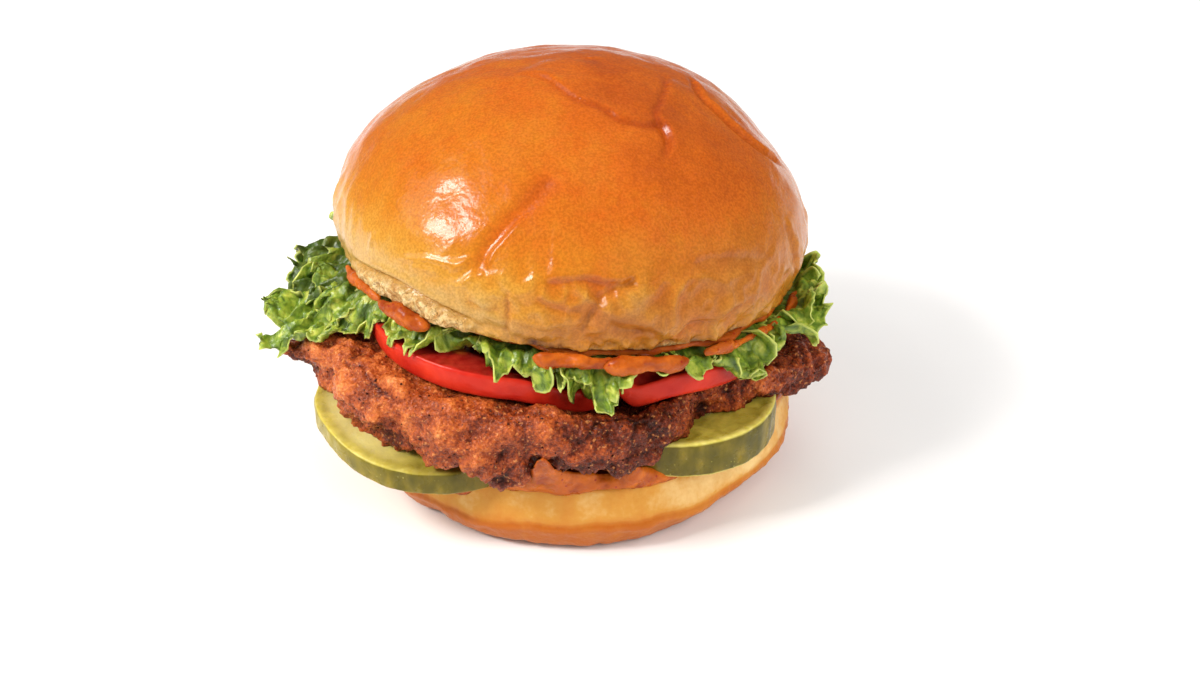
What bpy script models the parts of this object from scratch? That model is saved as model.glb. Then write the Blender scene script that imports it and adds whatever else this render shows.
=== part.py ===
"""A chicken burger: a glossy bun around sauce, pickles, seasoned chicken, tomato and frilled lettuce.

All sizes below are in millimetres, and angles in degrees; make_object turns the points into metres.
+Z is up, the origin is the centre of the flat base, and -Y is the side where the fillings show best.
"""

import math

import bmesh
import bpy
from mathutils import Euler, Vector, noise

MM = 0.001
FIT_GAP = 0.3
DRAPE_GAP = 1.1
DRAPE = 12.0

# Lower half of the bun
HEEL_BASE_RADIUS = 48.5
HEEL_RADIUS = 54.6
HEEL_WIDEST_Z = 8.7
HEEL_RIM_RADIUS = 53.0
HEEL_HEIGHT = 18.2
HEEL_CORNER = 1.6

# Upper half of the bun, a dome that leans back and to the right
BUN_RADIUS = 56.0
BUN_RIM_RADIUS = 54.3
BUN_WIDEST_Z = 8.6
BUN_HEIGHT = 46.5
BUN_DOME_POWER = 1.82
BUN_CORNER = 1.5
BUN_CENTRE = (0.2, 0.9, 51.0)
BUN_TILT = (-3.35, 5.23)

# Rings of each layer crowd towards its rim, where the shape changes most
RING_SPREAD = 0.8

# Fillings, from the bottom up
SAUCE_THICKNESS = 1.2
LOWER_SAUCE_RADIUS = 51.0
UPPER_SAUCE_RADIUS = 53.0
PICKLE_THICKNESS = 5.0
PICKLE_LEFT = ((-31.5, -26.5), 29.0)
PICKLE_RIGHT = ((25.0, -27.0), 23.5)
PICKLE_DROOP = 0.6
CHICKEN_CENTRE = (-2.0, -4.0)
CHICKEN_RADIUS = 55.5
CHICKEN_TOP_BELOW_BUN = 14.6
CHICKEN_BACK_RISE = 6.5
CHICKEN_TIP_THICKNESS = 8.0
CHICKEN_TIP_DROOP = 4.5
TOMATO_THICKNESS = 6.3
TOMATO_LEFT = ((-13.0, -20.0), 33.5)
TOMATO_RIGHT = ((12.5, -14.5), 33.5)
TOMATO_DENT = 4.3
LETTUCE_RADIUS = 56.0
LETTUCE_THICKNESS = 1.8
LETTUCE_SWING = 3.6
LETTUCE_WAVES = 14

# Lobes of an uneven outline: (direction, half width, how far it reaches past the plain radius)
CHICKEN_LOBES = (
    (198, 8, 12.0),
    (221, 12, 7.5),
    (246, 12, 4.5),
    (312, 16, -7.5),
    (354, 13, 9.0),
    (62, 15, 2.5),
    (98, 12, -1.5),
    (138, 14, 2.0),
)
LETTUCE_LOBES = (
    (178, 11, 9.0),
    (202, 11, 22.5),
    (235, 9, -3.0),
    (277, 9, 3.5),
    (311, 10, 7.0),
    (343, 15, 9.5),
    (30, 16, 4.0),
    (85, 18, 5.0),
    (128, 14, 3.5),
)
# The same for how far the leaf's free edge hangs down, where minus lifts it
LETTUCE_HANGS = (
    (180, 12, -3.5),
    (206, 11, 5.0),
    (250, 14, 3.0),
    (275, 8, 10.0),
    (311, 10, 6.5),
    (340, 14, 3.0),
    (25, 16, 5.0),
    (80, 20, 6.0),
    (130, 18, 5.0),
)
UPPER_SAUCE_LOBES = (
    (200, 14, 2.6),
    (228, 8, 2.0),
    (264, 10, 2.2),
    (288, 9, 3.2),
    (325, 16, 2.2),
    (70, 12, 1.6),
)


def smooth_step(value):
    """0 below 0, 1 above 1, and an S-shaped slope between."""
    value = min(max(value, 0.0), 1.0)
    return value * value * (3.0 - 2.0 * value)


def wave(x, y, size, layer):
    """A smooth unevenness between about -1 and 1, with hills of this size."""
    return 1.6 * noise.noise(Vector((x / size, y / size, layer * 7.3)))


def lobed(radius, lobes):
    """An outline: the radius in each direction, with each lobe added as a smooth bump."""

    def radius_at(angle):
        reach = radius
        for direction, half_width, height in lobes:
            turn = (math.degrees(angle) - direction + 180.0) % 360.0 - 180.0
            reach += height * math.exp(-((turn / half_width) ** 2))
        return reach

    return radius_at


def near_disc(x, y, disc, fade):
    """1 over a disc and just past its edge, falling to 0 at the distance fade outside it."""
    (centre_x, centre_y), radius = disc
    outside = math.hypot(x - centre_x, y - centre_y) - radius
    return 1.0 - smooth_step((outside - 1.5) / fade)


# Heights of the layers' faces at each point of the plan


def bun_cut(x, y):
    """The plane of the upper bun's cut face."""
    down_back = math.tan(math.radians(BUN_TILT[0]))
    down_right = math.tan(math.radians(BUN_TILT[1]))
    return BUN_CENTRE[2] + (y - BUN_CENTRE[1]) * down_back - (x - BUN_CENTRE[0]) * down_right


def heel_top(x, y):
    return HEEL_HEIGHT - 0.4 * (x * x + y * y) / HEEL_RADIUS**2 + 0.3 * wave(x, y, 22.0, 1)


def lower_sauce_bottom(x, y):
    return heel_top(x, y) + FIT_GAP + 0.15


def lower_sauce_top(x, y):
    return lower_sauce_bottom(x, y) + SAUCE_THICKNESS


def pickle_bottom(x, y):
    past_heel = smooth_step((math.hypot(x, y) - HEEL_RADIUS) / 20.0)
    return lower_sauce_top(x, y) + FIT_GAP + 0.2 - PICKLE_DROOP * past_heel


def pickle_top(x, y):
    return pickle_bottom(x, y) + PICKLE_THICKNESS


def chicken_tip(x, y):
    """0 on the body of the fillet, rising to 1 out on its thin tips."""
    reach = math.hypot(x - CHICKEN_CENTRE[0], y - CHICKEN_CENTRE[1])
    return smooth_step((reach - CHICKEN_RADIUS - 1.0) / 9.0)


def chicken_top(x, y):
    """Parallel to the bun's cut, dented by the crossed tomato slices and thicker behind them."""
    on_left = near_disc(x, y, TOMATO_LEFT, DRAPE)
    on_right = near_disc(x, y, TOMATO_RIGHT, DRAPE)
    behind = smooth_step((y - 8.0) / 24.0) * (1.0 - max(on_left, on_right))
    unevenness = 0.25 * wave(x, y, 22.0, 2)
    height = bun_cut(x, y) - CHICKEN_TOP_BELOW_BUN + CHICKEN_BACK_RISE * behind
    droop = CHICKEN_TIP_DROOP * chicken_tip(x, y)
    return height - TOMATO_DENT * on_left * on_right - droop + unevenness


def chicken_bottom(x, y):
    """It lies on the pickles and sags onto the sauce beside them, and its thin tips curl up."""
    lift = max(near_disc(x, y, PICKLE_LEFT, DRAPE), near_disc(x, y, PICKLE_RIGHT, DRAPE))
    support = lower_sauce_top(x, y) + DRAPE_GAP + (PICKLE_THICKNESS + 2.0 * FIT_GAP) * lift
    return support + chicken_tip(x, y) * max(chicken_top(x, y) - CHICKEN_TIP_THICKNESS - support, 0.0)


def left_tomato_bottom(x, y):
    return chicken_top(x, y) + DRAPE_GAP


def left_tomato_top(x, y):
    return left_tomato_bottom(x, y) + TOMATO_THICKNESS


def right_tomato_bottom(x, y):
    lift = (TOMATO_THICKNESS + DRAPE_GAP) * near_disc(x, y, TOMATO_LEFT, DRAPE)
    return left_tomato_bottom(x, y) + lift


def right_tomato_top(x, y):
    return right_tomato_bottom(x, y) + TOMATO_THICKNESS


def under_lettuce(x, y):
    """The top of whatever lies below the leaf."""
    lift = (TOMATO_THICKNESS + FIT_GAP) * near_disc(x, y, TOMATO_RIGHT, DRAPE)
    return right_tomato_bottom(x, y) + lift + DRAPE_GAP


def upper_sauce_top(x, y):
    return bun_cut(x, y) - FIT_GAP


def upper_sauce_bottom(x, y):
    return upper_sauce_top(x, y) - SAUCE_THICKNESS


lettuce_hang = lobed(0.0, LETTUCE_HANGS)


def lettuce_faces(x, y):
    """(bottom, top): the leaf lies folded in the middle and spreads out into a thin frilled edge."""
    low = under_lettuce(x, y)
    high = upper_sauce_bottom(x, y) - FIT_GAP - 0.5
    reach = math.hypot(x, y)
    angle = math.atan2(y, x)
    frill = smooth_step((reach - 40.0) / 12.0)
    free = smooth_step((reach - 54.0) / 8.0)
    room = max(high - low - LETTUCE_THICKNESS, 0.0) / 2.0
    swing = (1.0 - free) * min(room, 2.6) + free * LETTUCE_SWING
    ripple = 0.75 * math.sin(LETTUCE_WAVES * angle) + 0.25 * math.sin(9.0 * angle + 0.2 * reach)
    middle = (low + high) / 2.0
    leaf = middle + swing * ripple - free * lettuce_hang(angle)
    if reach < 66.0:
        leaf = max(leaf, low + LETTUCE_THICKNESS / 2.0)
    if reach < 57.5:
        leaf = min(leaf, high - LETTUCE_THICKNESS / 2.0)
    half_inside = (high - low) / 2.0
    half_frill = LETTUCE_THICKNESS / 2.0
    half = half_inside + (half_frill - half_inside) * frill
    centre = middle + (leaf - middle) * frill
    return centre - half, centre + half


def lettuce_bottom(x, y):
    return lettuce_faces(x, y)[0]


def lettuce_top(x, y):
    return lettuce_faces(x, y)[1]


# Building the solids


def food_material(name, colour, roughness):
    material = bpy.data.materials.new(name)
    material.use_nodes = True
    shader = material.node_tree.nodes["Principled BSDF"]
    shader.inputs["Base Color"].default_value = (*colour, 1.0)
    shader.inputs["Roughness"].default_value = roughness
    shader.inputs["Metallic"].default_value = 0.0
    material.diffuse_color = (*colour, 1.0)
    return material


def make_object(name, bm, material):
    """Turns millimetres into metres and links the finished mesh."""
    bmesh.ops.recalc_face_normals(bm, faces=bm.faces)
    bmesh.ops.scale(bm, vec=(MM, MM, MM), verts=bm.verts)
    mesh = bpy.data.meshes.new(name)
    bm.to_mesh(mesh)
    bm.free()
    mesh.shade_smooth()
    mesh.materials.append(material)
    thing = bpy.data.objects.new(name, mesh)
    bpy.context.scene.collection.objects.link(thing)
    return thing


def skin_rings(bm, rings, first_centre, last_centre):
    """Joins rings of vertices into a closed skin, with a fan to a centre point at either end."""
    for ring, following in zip(rings, rings[1:]):
        count = len(ring)
        for i in range(count):
            j = (i + 1) % count
            bm.faces.new((ring[i], ring[j], following[j], following[i]))
    for ring, centre in ((rings[0], first_centre), (rings[-1], last_centre)):
        tip = bm.verts.new(centre)
        count = len(ring)
        for i in range(count):
            bm.faces.new((tip, ring[i], ring[(i + 1) % count]))


def build_layer(name, material, centre, radius_at, bottom_at, top_at, rings, spokes, edge, edge_steps=3):
    """A slab between two face heights, out to an outline, with a rounded edge this deep."""
    shares = [(i / rings) ** RING_SPREAD for i in range(1, rings + 1)]
    stations = [(share, 0.0, 1.0) for share in shares]
    for i in range(1, edge_steps):
        turn = math.pi * (0.5 - i / edge_steps)
        stations.append((1.0, math.cos(turn), math.sin(turn)))
    stations += [(share, 0.0, -1.0) for share in reversed(shares)]
    bm = bmesh.new()
    loops = []
    for fraction, out, rise in stations:
        loop = []
        for i in range(spokes):
            angle = math.tau * i / spokes
            reach = fraction * (radius_at(angle) - edge) + edge * out
            x = centre[0] + reach * math.cos(angle)
            y = centre[1] + reach * math.sin(angle)
            low = bottom_at(x, y)
            high = top_at(x, y)
            z = (low + high) / 2.0 + rise * (high - low) / 2.0
            loop.append(bm.verts.new((x, y, z)))
        loops.append(loop)
    skin_rings(bm, loops, (*centre, top_at(*centre)), (*centre, bottom_at(*centre)))
    return make_object(name, bm, material)


def oval(radius, stretch, direction):
    """A round slice's outline, slightly longer one way."""

    def radius_at(angle):
        return radius * (1.0 - stretch + stretch * math.cos(2.0 * (angle - math.radians(direction))))

    return radius_at


def turned(profile, spokes):
    """The rings of a turned shape, from (radius, height) stations."""
    bm = bmesh.new()
    loops = []
    for radius, height in profile:
        loop = []
        for i in range(spokes):
            angle = math.tau * i / spokes
            loop.append(bm.verts.new((radius * math.cos(angle), radius * math.sin(angle), height)))
        loops.append(loop)
    return bm, loops


def heel_profile():
    """From the flat base out round the browned shoulder and up the pale cut side."""
    profile = [(HEEL_BASE_RADIUS * 0.5, 0.0), (HEEL_BASE_RADIUS, 0.0)]
    for i in range(1, 5):
        turn = math.radians(90.0 * i / 4)
        reach = HEEL_RADIUS - HEEL_BASE_RADIUS
        rise = HEEL_WIDEST_Z * (1.0 - math.cos(turn))
        profile.append((HEEL_BASE_RADIUS + reach * math.sin(turn), rise))
    profile.append((HEEL_RADIUS - 0.5, HEEL_WIDEST_Z + 3.5))
    profile.append((HEEL_RIM_RADIUS, HEEL_HEIGHT - HEEL_CORNER - 0.6))
    return profile


def build_heel(material):
    spokes = 44
    bm, loops = turned(heel_profile(), spokes)
    for loop in loops[2:]:
        for vert in loop:
            swell = 1.0 + 0.007 * wave(vert.co.x, vert.co.y, 30.0, 5)
            vert.co.x *= swell
            vert.co.y *= swell
    for fraction in (1.0, 0.66, 0.33):
        loop = []
        for i in range(spokes):
            angle = math.tau * i / spokes
            reach = fraction * (HEEL_RIM_RADIUS - HEEL_CORNER)
            x = reach * math.cos(angle)
            y = reach * math.sin(angle)
            loop.append(bm.verts.new((x, y, heel_top(x, y))))
        loops.append(loop)
    skin_rings(bm, loops, (0.0, 0.0, 0.0), (0.0, 0.0, heel_top(0.0, 0.0)))
    return make_object("bun_bottom", bm, material)


def crown_profile():
    """From the cut face round the tucked rim, out to the widest point and over the dome."""
    cut = BUN_RIM_RADIUS - BUN_CORNER
    profile = [(cut * 0.5, 0.0), (cut, 0.0)]
    profile.append((BUN_RIM_RADIUS - 0.3, BUN_CORNER * 0.7))
    for height in (3.2, 6.0):
        bulge = smooth_step(height / BUN_WIDEST_Z)
        profile.append((BUN_RIM_RADIUS + (BUN_RADIUS - BUN_RIM_RADIUS) * bulge, height))
    dome = BUN_HEIGHT - BUN_WIDEST_Z
    steps = 12
    for i in range(steps):
        share = math.sin(0.5 * math.pi * i / steps)
        reach = BUN_RADIUS * (1.0 - share**BUN_DOME_POWER) ** (1.0 / BUN_DOME_POWER)
        profile.append((reach, BUN_WIDEST_Z + dome * share))
    return profile


def build_crown(material):
    bm, loops = turned(crown_profile(), 48)
    for loop in loops[3:]:
        for vert in loop:
            soft = smooth_step(vert.co.z / 12.0)
            dimple = 0.7 * wave(vert.co.x, vert.co.y + vert.co.z, 26.0, 9) * soft
            vert.co += vert.co.normalized() * dimple
    skin_rings(bm, loops, (0.0, 0.0, 0.0), (0.0, 0.0, BUN_HEIGHT))
    crown = make_object("bun_top", bm, material)
    crown.location = Vector(BUN_CENTRE) * MM
    crown.rotation_euler = Euler((math.radians(BUN_TILT[0]), math.radians(BUN_TILT[1]), 0.0))
    return crown


def build_pickle(name, material, disc, direction):
    centre, radius = disc
    outline = oval(radius, 0.02, direction)
    return build_layer(name, material, centre, outline, pickle_bottom, pickle_top, 3, 28, 1.0)


def build_tomato(name, material, disc, bottom_at, top_at, direction):
    centre, radius = disc
    outline = oval(radius, 0.015, direction)
    return build_layer(name, material, centre, outline, bottom_at, top_at, 4, 32, 1.6, 4)


def build_chicken(material):
    outline = lobed(CHICKEN_RADIUS, CHICKEN_LOBES)

    def ragged(angle):
        return outline(angle) + 1.2 * wave(math.cos(angle) * 60.0, math.sin(angle) * 60.0, 11.0, 3)

    return build_layer(
        "chicken", material, CHICKEN_CENTRE, ragged, chicken_bottom, chicken_top, 6, 56, 5.0, 4
    )


def build_lettuce(material):
    outline = lobed(LETTUCE_RADIUS, LETTUCE_LOBES)

    def frilled(angle):
        return outline(angle) + 1.6 * math.sin(LETTUCE_WAVES * 2.0 * angle + 0.6)

    return build_layer(
        "lettuce", material, (0.0, 0.0), frilled, lettuce_bottom, lettuce_top, 6, 112, 0.6, 2
    )


def build_sauces(material):
    def lower_edge(angle):
        return LOWER_SAUCE_RADIUS + 0.9 * wave(math.cos(angle) * 50.0, math.sin(angle) * 50.0, 14.0, 4)

    build_layer(
        "sauce_bottom", material, (0.0, 0.0), lower_edge, lower_sauce_bottom, lower_sauce_top, 4, 36, 0.6, 2
    )
    upper_edge = lobed(UPPER_SAUCE_RADIUS, UPPER_SAUCE_LOBES)
    build_layer(
        "sauce_top", material, (0.0, 0.0), upper_edge, upper_sauce_bottom, upper_sauce_top, 3, 48, 0.6, 2
    )


def clear_scene():
    for thing in list(bpy.data.objects):
        bpy.data.objects.remove(thing, do_unlink=True)


def build_burger():
    clear_scene()
    bun = food_material("baked_bun", (0.66, 0.30, 0.07), 0.32)
    crumb = food_material("bun_side", (0.80, 0.55, 0.25), 0.55)
    sauce = food_material("spiced_sauce", (0.71, 0.25, 0.10), 0.3)
    pickle = food_material("pickle", (0.35, 0.36, 0.06), 0.3)
    chicken = food_material("seasoned_chicken", (0.29, 0.09, 0.03), 0.55)
    tomato = food_material("tomato", (0.70, 0.03, 0.01), 0.2)
    lettuce = food_material("lettuce", (0.20, 0.42, 0.05), 0.4)
    build_heel(crumb)
    build_sauces(sauce)
    build_pickle("pickle_left", pickle, PICKLE_LEFT, 20.0)
    build_pickle("pickle_right", pickle, PICKLE_RIGHT, 75.0)
    build_chicken(chicken)
    build_tomato("tomato_left", tomato, TOMATO_LEFT, left_tomato_bottom, left_tomato_top, 40.0)
    build_tomato("tomato_right", tomato, TOMATO_RIGHT, right_tomato_bottom, right_tomato_top, 110.0)
    build_lettuce(lettuce)
    build_crown(bun)


build_burger()
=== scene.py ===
"""Looks of the chicken burger: each layer is remade with its real surface, in the place of its solid.

Shapes are worked out in millimetres and degrees, and add_piece turns them into metres. +Z is up. Directions
run anticlockwise from +X, so 270 is the side where the fillings show best and where the camera stands.
"""

import itertools
import math

import bpy
import numpy as np
from mathutils import Euler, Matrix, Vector


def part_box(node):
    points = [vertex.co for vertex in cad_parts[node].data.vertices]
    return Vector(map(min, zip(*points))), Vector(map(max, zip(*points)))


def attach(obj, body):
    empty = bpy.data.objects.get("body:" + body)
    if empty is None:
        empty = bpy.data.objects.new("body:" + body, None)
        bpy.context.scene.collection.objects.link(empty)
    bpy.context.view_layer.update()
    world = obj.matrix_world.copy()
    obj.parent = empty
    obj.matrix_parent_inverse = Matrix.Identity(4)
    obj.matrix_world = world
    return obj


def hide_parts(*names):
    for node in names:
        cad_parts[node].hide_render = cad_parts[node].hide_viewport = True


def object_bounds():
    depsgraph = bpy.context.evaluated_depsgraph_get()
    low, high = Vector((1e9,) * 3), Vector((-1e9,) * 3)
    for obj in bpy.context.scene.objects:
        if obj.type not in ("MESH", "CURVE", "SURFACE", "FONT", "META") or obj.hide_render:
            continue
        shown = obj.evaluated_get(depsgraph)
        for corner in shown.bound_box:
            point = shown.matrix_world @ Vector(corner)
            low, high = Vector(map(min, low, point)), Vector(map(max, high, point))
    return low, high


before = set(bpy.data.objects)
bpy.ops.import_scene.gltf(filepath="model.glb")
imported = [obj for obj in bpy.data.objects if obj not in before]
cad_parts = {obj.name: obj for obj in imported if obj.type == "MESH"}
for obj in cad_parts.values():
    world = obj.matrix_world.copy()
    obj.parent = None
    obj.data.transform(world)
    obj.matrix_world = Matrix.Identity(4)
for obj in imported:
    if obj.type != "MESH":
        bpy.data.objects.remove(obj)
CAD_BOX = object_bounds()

MM = 0.001
SEED = 11


def span(node):
    """A node's lowest and highest corner in millimetres."""
    low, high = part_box(node)
    return np.array(low) / MM, np.array(high) / MM


def disc_of(node):
    """(centre x, centre y, radius) of a round slice."""
    low, high = span(node)
    middle = (low + high) / 2.0
    return middle[0], middle[1], (high - low)[:2].mean() / 2.0


# ---------------------------------------------------------------- sizes, as in the solids

CROWN_CENTRE = np.array((-0.85, 0.9, 51.0))
CROWN_TILT = (-3.35, 5.23)
CROWN_RADIUS = 56.0
CROWN_RIM_RADIUS = 54.3
CROWN_WIDEST = 8.6
CROWN_HEIGHT = 46.5
DOME_POWER = 1.82
HEEL_BASE_RADIUS = 48.5
HEEL_RADIUS = 54.6
HEEL_RIM_RADIUS = 53.0
HEEL_HEIGHT = span("bun_bottom")[1][2] - 0.3
PICKLE_THICKNESS = 5.0
PICKLES = {side: disc_of("pickle_" + side) for side in ("left", "right")}
TOMATOES = {side: disc_of("tomato_" + side) for side in ("left", "right")}
TOMATO_THICKNESS = 6.3
CHICKEN_CENTRE = (-2.0, -4.0)
CHICKEN_RADIUS = 55.5
CHICKEN_TOP_BELOW_BUN = 14.6
DRAPE = 12.0


# ---------------------------------------------------------------- noise and curves

chance = np.random.default_rng(SEED)
SLOPES = chance.normal(size=(256, 3))
SLOPES /= np.linalg.norm(SLOPES, axis=1, keepdims=True)
SCATTER = chance.random((256, 3))


def hashed(cells, seed):
    """A fixed scrambled number from 0 to 255 for each cell of a grid."""
    cells = cells.astype(np.int64)
    mixed = cells[..., 0] * 374761393 + cells[..., 1] * 668265263 + cells[..., 2] * 1442695041 + seed * 97471
    mixed &= 0xFFFFFFFF
    mixed = ((mixed ^ (mixed >> 13)) * 1274126177) & 0xFFFFFFFF
    return (mixed ^ (mixed >> 16)) & 255


def hills(points, size, seed=0):
    """Smooth unevenness from about -1 to 1, with hills of this size."""
    at = points / size + 17.3 * seed
    cell = np.floor(at)
    inside = at - cell
    ease = inside**3 * (inside * (inside * 6.0 - 15.0) + 10.0)
    total = 0.0
    for corner in itertools.product((0, 1), repeat=3):
        share = np.where(corner, ease, 1.0 - ease).prod(-1)
        total = total + share * ((inside - corner) * SLOPES[hashed(cell + corner, seed)]).sum(-1)
    return 1.8 * total


def rough(points, size, octaves, seed=0, keep=0.5):
    """Hills with smaller hills on them."""
    return sum(keep**k * hills(points, size / 2.0**k, seed + k) for k in range(octaves))


def ridged(points, size, octaves, seed=0):
    """Sharp crests from 0 to about 1, like creased skin."""
    return sum(0.5**k * (1.0 - np.abs(hills(points, size / 2.0**k, seed + k))) ** 3 for k in range(octaves))


def pebbles(points, size, seed=0):
    """Distance to the nearest of many scattered spots, 0 at a spot and about 1 between spots."""
    at = points / size
    cell = np.floor(at)
    nearest = np.full(at.shape[:-1], 9.0)
    for step in itertools.product((-1, 0, 1), repeat=3):
        other = cell + step
        gap = at - other - SCATTER[hashed(other, seed)]
        nearest = np.minimum(nearest, (gap**2).sum(-1))
    return np.sqrt(nearest)


def smooth(value):
    """0 below 0, 1 above 1, and an S-shaped slope between."""
    value = np.clip(value, 0.0, 1.0)
    return value * value * (3.0 - 2.0 * value)


def turn_from(angle, direction):
    """Signed turn in degrees from a direction."""
    return (angle - direction + 180.0) % 360.0 - 180.0


def lobes(angle, bumps):
    """Sum of smooth bumps round the burger: (direction, half width, height)."""
    return sum(height * np.exp(-((turn_from(angle, way) / half) ** 2)) for way, half, height in bumps)


def azimuth(x, y):
    return np.degrees(np.arctan2(y, x)) % 360.0


def around(angle, radius, height):
    """Points at directions, distances from the upright axis, and heights."""
    turn = np.radians(angle)
    angle, radius, height = np.broadcast_arrays(turn, radius, height)
    return np.stack([radius * np.cos(turn), radius * np.sin(turn), height], -1)


def rounded(path, times=2):
    """A path with its corners cut, which makes it flow."""
    for _ in range(times):
        before = path[:-1]
        after = path[1:]
        cut = np.stack([0.75 * before + 0.25 * after, 0.25 * before + 0.75 * after], 1)
        path = np.concatenate([path[:1], cut.reshape(-1, path.shape[1]), path[-1:]])
    return path


def evenly(path, step):
    """The same path with points this far apart."""
    along = np.concatenate([[0.0], np.cumsum(np.linalg.norm(np.diff(path, axis=0), axis=1))])
    stations = np.linspace(0.0, along[-1], max(int(along[-1] / step), 2) + 1)
    return np.stack([np.interp(stations, along, path[:, k]) for k in range(path.shape[1])], -1)


# ---------------------------------------------------------------- heights of the layers


def bun_cut(x, y):
    """The plane of the upper bun's cut face."""
    down_back = math.tan(math.radians(CROWN_TILT[0]))
    down_right = math.tan(math.radians(CROWN_TILT[1]))
    return CROWN_CENTRE[2] + (y - CROWN_CENTRE[1]) * down_back - (x - CROWN_CENTRE[0]) * down_right


def near_disc(x, y, disc, fade):
    """1 over a disc and just past its edge, falling to 0 at the distance fade outside it."""
    outside = np.hypot(x - disc[0], y - disc[1]) - disc[2]
    return 1.0 - smooth((outside - 1.0) / fade)


def heel_top(x, y):
    return HEEL_HEIGHT - 0.4 * (x * x + y * y) / HEEL_RADIUS**2


def pickle_bottom(x, y):
    past_heel = smooth((np.hypot(x, y) - HEEL_RADIUS) / 20.0)
    return heel_top(x, y) + 2.1 - 0.6 * past_heel


def chicken_tip(x, y):
    """0 on the body of the fillet, rising to 1 out on its thin tips."""
    reach = np.hypot(x - CHICKEN_CENTRE[0], y - CHICKEN_CENTRE[1])
    return smooth((reach - CHICKEN_RADIUS - 1.0) / 9.0)


def chicken_top(x, y):
    """Parallel to the bun's cut, dented by the crossed tomato slices and thicker behind them."""
    on_left = near_disc(x, y, TOMATOES["left"], DRAPE)
    on_right = near_disc(x, y, TOMATOES["right"], DRAPE)
    behind = smooth((y - 8.0) / 24.0) * (1.0 - np.maximum(on_left, on_right))
    flat = bun_cut(x, y) - CHICKEN_TOP_BELOW_BUN + 6.5 * behind
    return flat - 4.3 * on_left * on_right - 4.5 * chicken_tip(x, y)


def chicken_bottom(x, y):
    """It lies on the pickles and sags onto the sauce beside them, and its thin tips curl up."""
    lift = np.maximum(near_disc(x, y, PICKLES["left"], 8.0), near_disc(x, y, PICKLES["right"], 8.0))
    raised = (
        1.9
        + lobes(
            azimuth(x, y), ((272, 9.5, 5.6), (264, 4.5, 5.0), (252, 9, 1.6)),
        ) * smooth((np.hypot(x, y) - 44.0) / 8.0)
    )
    support = heel_top(x, y) + raised + (PICKLE_THICKNESS + 0.6) * lift
    return support + chicken_tip(x, y) * np.maximum(chicken_top(x, y) - 4.5 - support, 0.0)


def tomato_bottom(side, x, y):
    """The right slice lies partly on the left one and drapes down past its edge."""
    lift = (TOMATO_THICKNESS + 0.4) * near_disc(x, y, TOMATOES["left"], 5.0) if side == "right" else 0.0
    return chicken_top(x, y) + 0.5 + lift


# ---------------------------------------------------------------- meshes


def ring_normals(rings):
    """Outward directions of a grid of rings that run anticlockwise from the underside to the top."""
    along = np.roll(rings, -1, axis=1) - np.roll(rings, 1, axis=1)
    up = np.gradient(rings, axis=0)
    normal = np.cross(along, up)
    return normal / np.maximum(np.linalg.norm(normal, axis=-1, keepdims=True), 1e-9)


def closed_skin(rings):
    """Points and faces of rings that wrap round, closed at both ends by a fan."""
    count, spokes = rings.shape[:2]
    index = np.arange(count * spokes).reshape(count, spokes)
    ahead = np.roll(index, -1, axis=1)
    quads = np.stack([index[:-1], ahead[:-1], ahead[1:], index[1:]], -1).reshape(-1, 4)
    low, high = count * spokes, count * spokes + 1
    first = np.stack([np.full(spokes, low), ahead[0], index[0]], -1)
    last = np.stack([np.full(spokes, high), index[-1], ahead[-1]], -1)
    points = np.vstack([rings.reshape(-1, 3), rings[0].mean(0), rings[-1].mean(0)])
    return points, [quads, first, last]


def with_tips(values):
    """A value at each point of closed_skin, from a grid of values."""
    return np.concatenate([values.ravel(), [values[0].mean(), values[-1].mean()]])


def closed_tube(rings):
    """The same where the last ring joins the first, as in a doughnut."""
    count, spokes = rings.shape[:2]
    index = np.arange(count * spokes).reshape(count, spokes)
    ahead = np.roll(index, -1, axis=1)
    above = np.roll(index, -1, axis=0)
    both = np.roll(ahead, -1, axis=0)
    return rings.reshape(-1, 3), [np.stack([index, ahead, both, above], -1).reshape(-1, 4)]


def closed_sheet(middle, thickness):
    """Both faces of a thin sheet and the strip round its edge."""
    normal = np.cross(np.gradient(middle, axis=0), np.gradient(middle, axis=1))
    normal /= np.maximum(np.linalg.norm(normal, axis=-1, keepdims=True), 1e-9)
    half = normal * (np.asarray(thickness) / 2.0)[..., None]
    rows, columns = middle.shape[:2]
    upper = np.arange(rows * columns).reshape(rows, columns)
    lower = upper + rows * columns
    top = np.stack([upper[:-1, :-1], upper[1:, :-1], upper[1:, 1:], upper[:-1, 1:]], -1).reshape(-1, 4)
    under = np.stack([lower[:-1, :-1], lower[:-1, 1:], lower[1:, 1:], lower[1:, :-1]], -1).reshape(-1, 4)
    rim = np.concatenate([upper[0, :-1], upper[:-1, -1], upper[-1, :0:-1], upper[:0:-1, 0]])
    after = np.roll(rim, -1)
    size = rows * columns
    edge = np.stack([rim, after, after + size, rim + size], -1)
    points = np.concatenate([(middle + half).reshape(-1, 3), (middle - half).reshape(-1, 3)])
    return points, [top, under, edge]


def joined(parts):
    """One set of points, faces and zones from several."""
    points, faces, zones, start = [], [], [], 0
    for part_points, part_faces, part_zones in parts:
        points.append(part_points)
        faces += [face_set + start for face_set in part_faces]
        zones.append(part_zones)
        start += len(part_points)
    names = zones[0].keys()
    return np.concatenate(points), faces, {n: np.concatenate([z[n] for z in zones]) for n in names}


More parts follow.
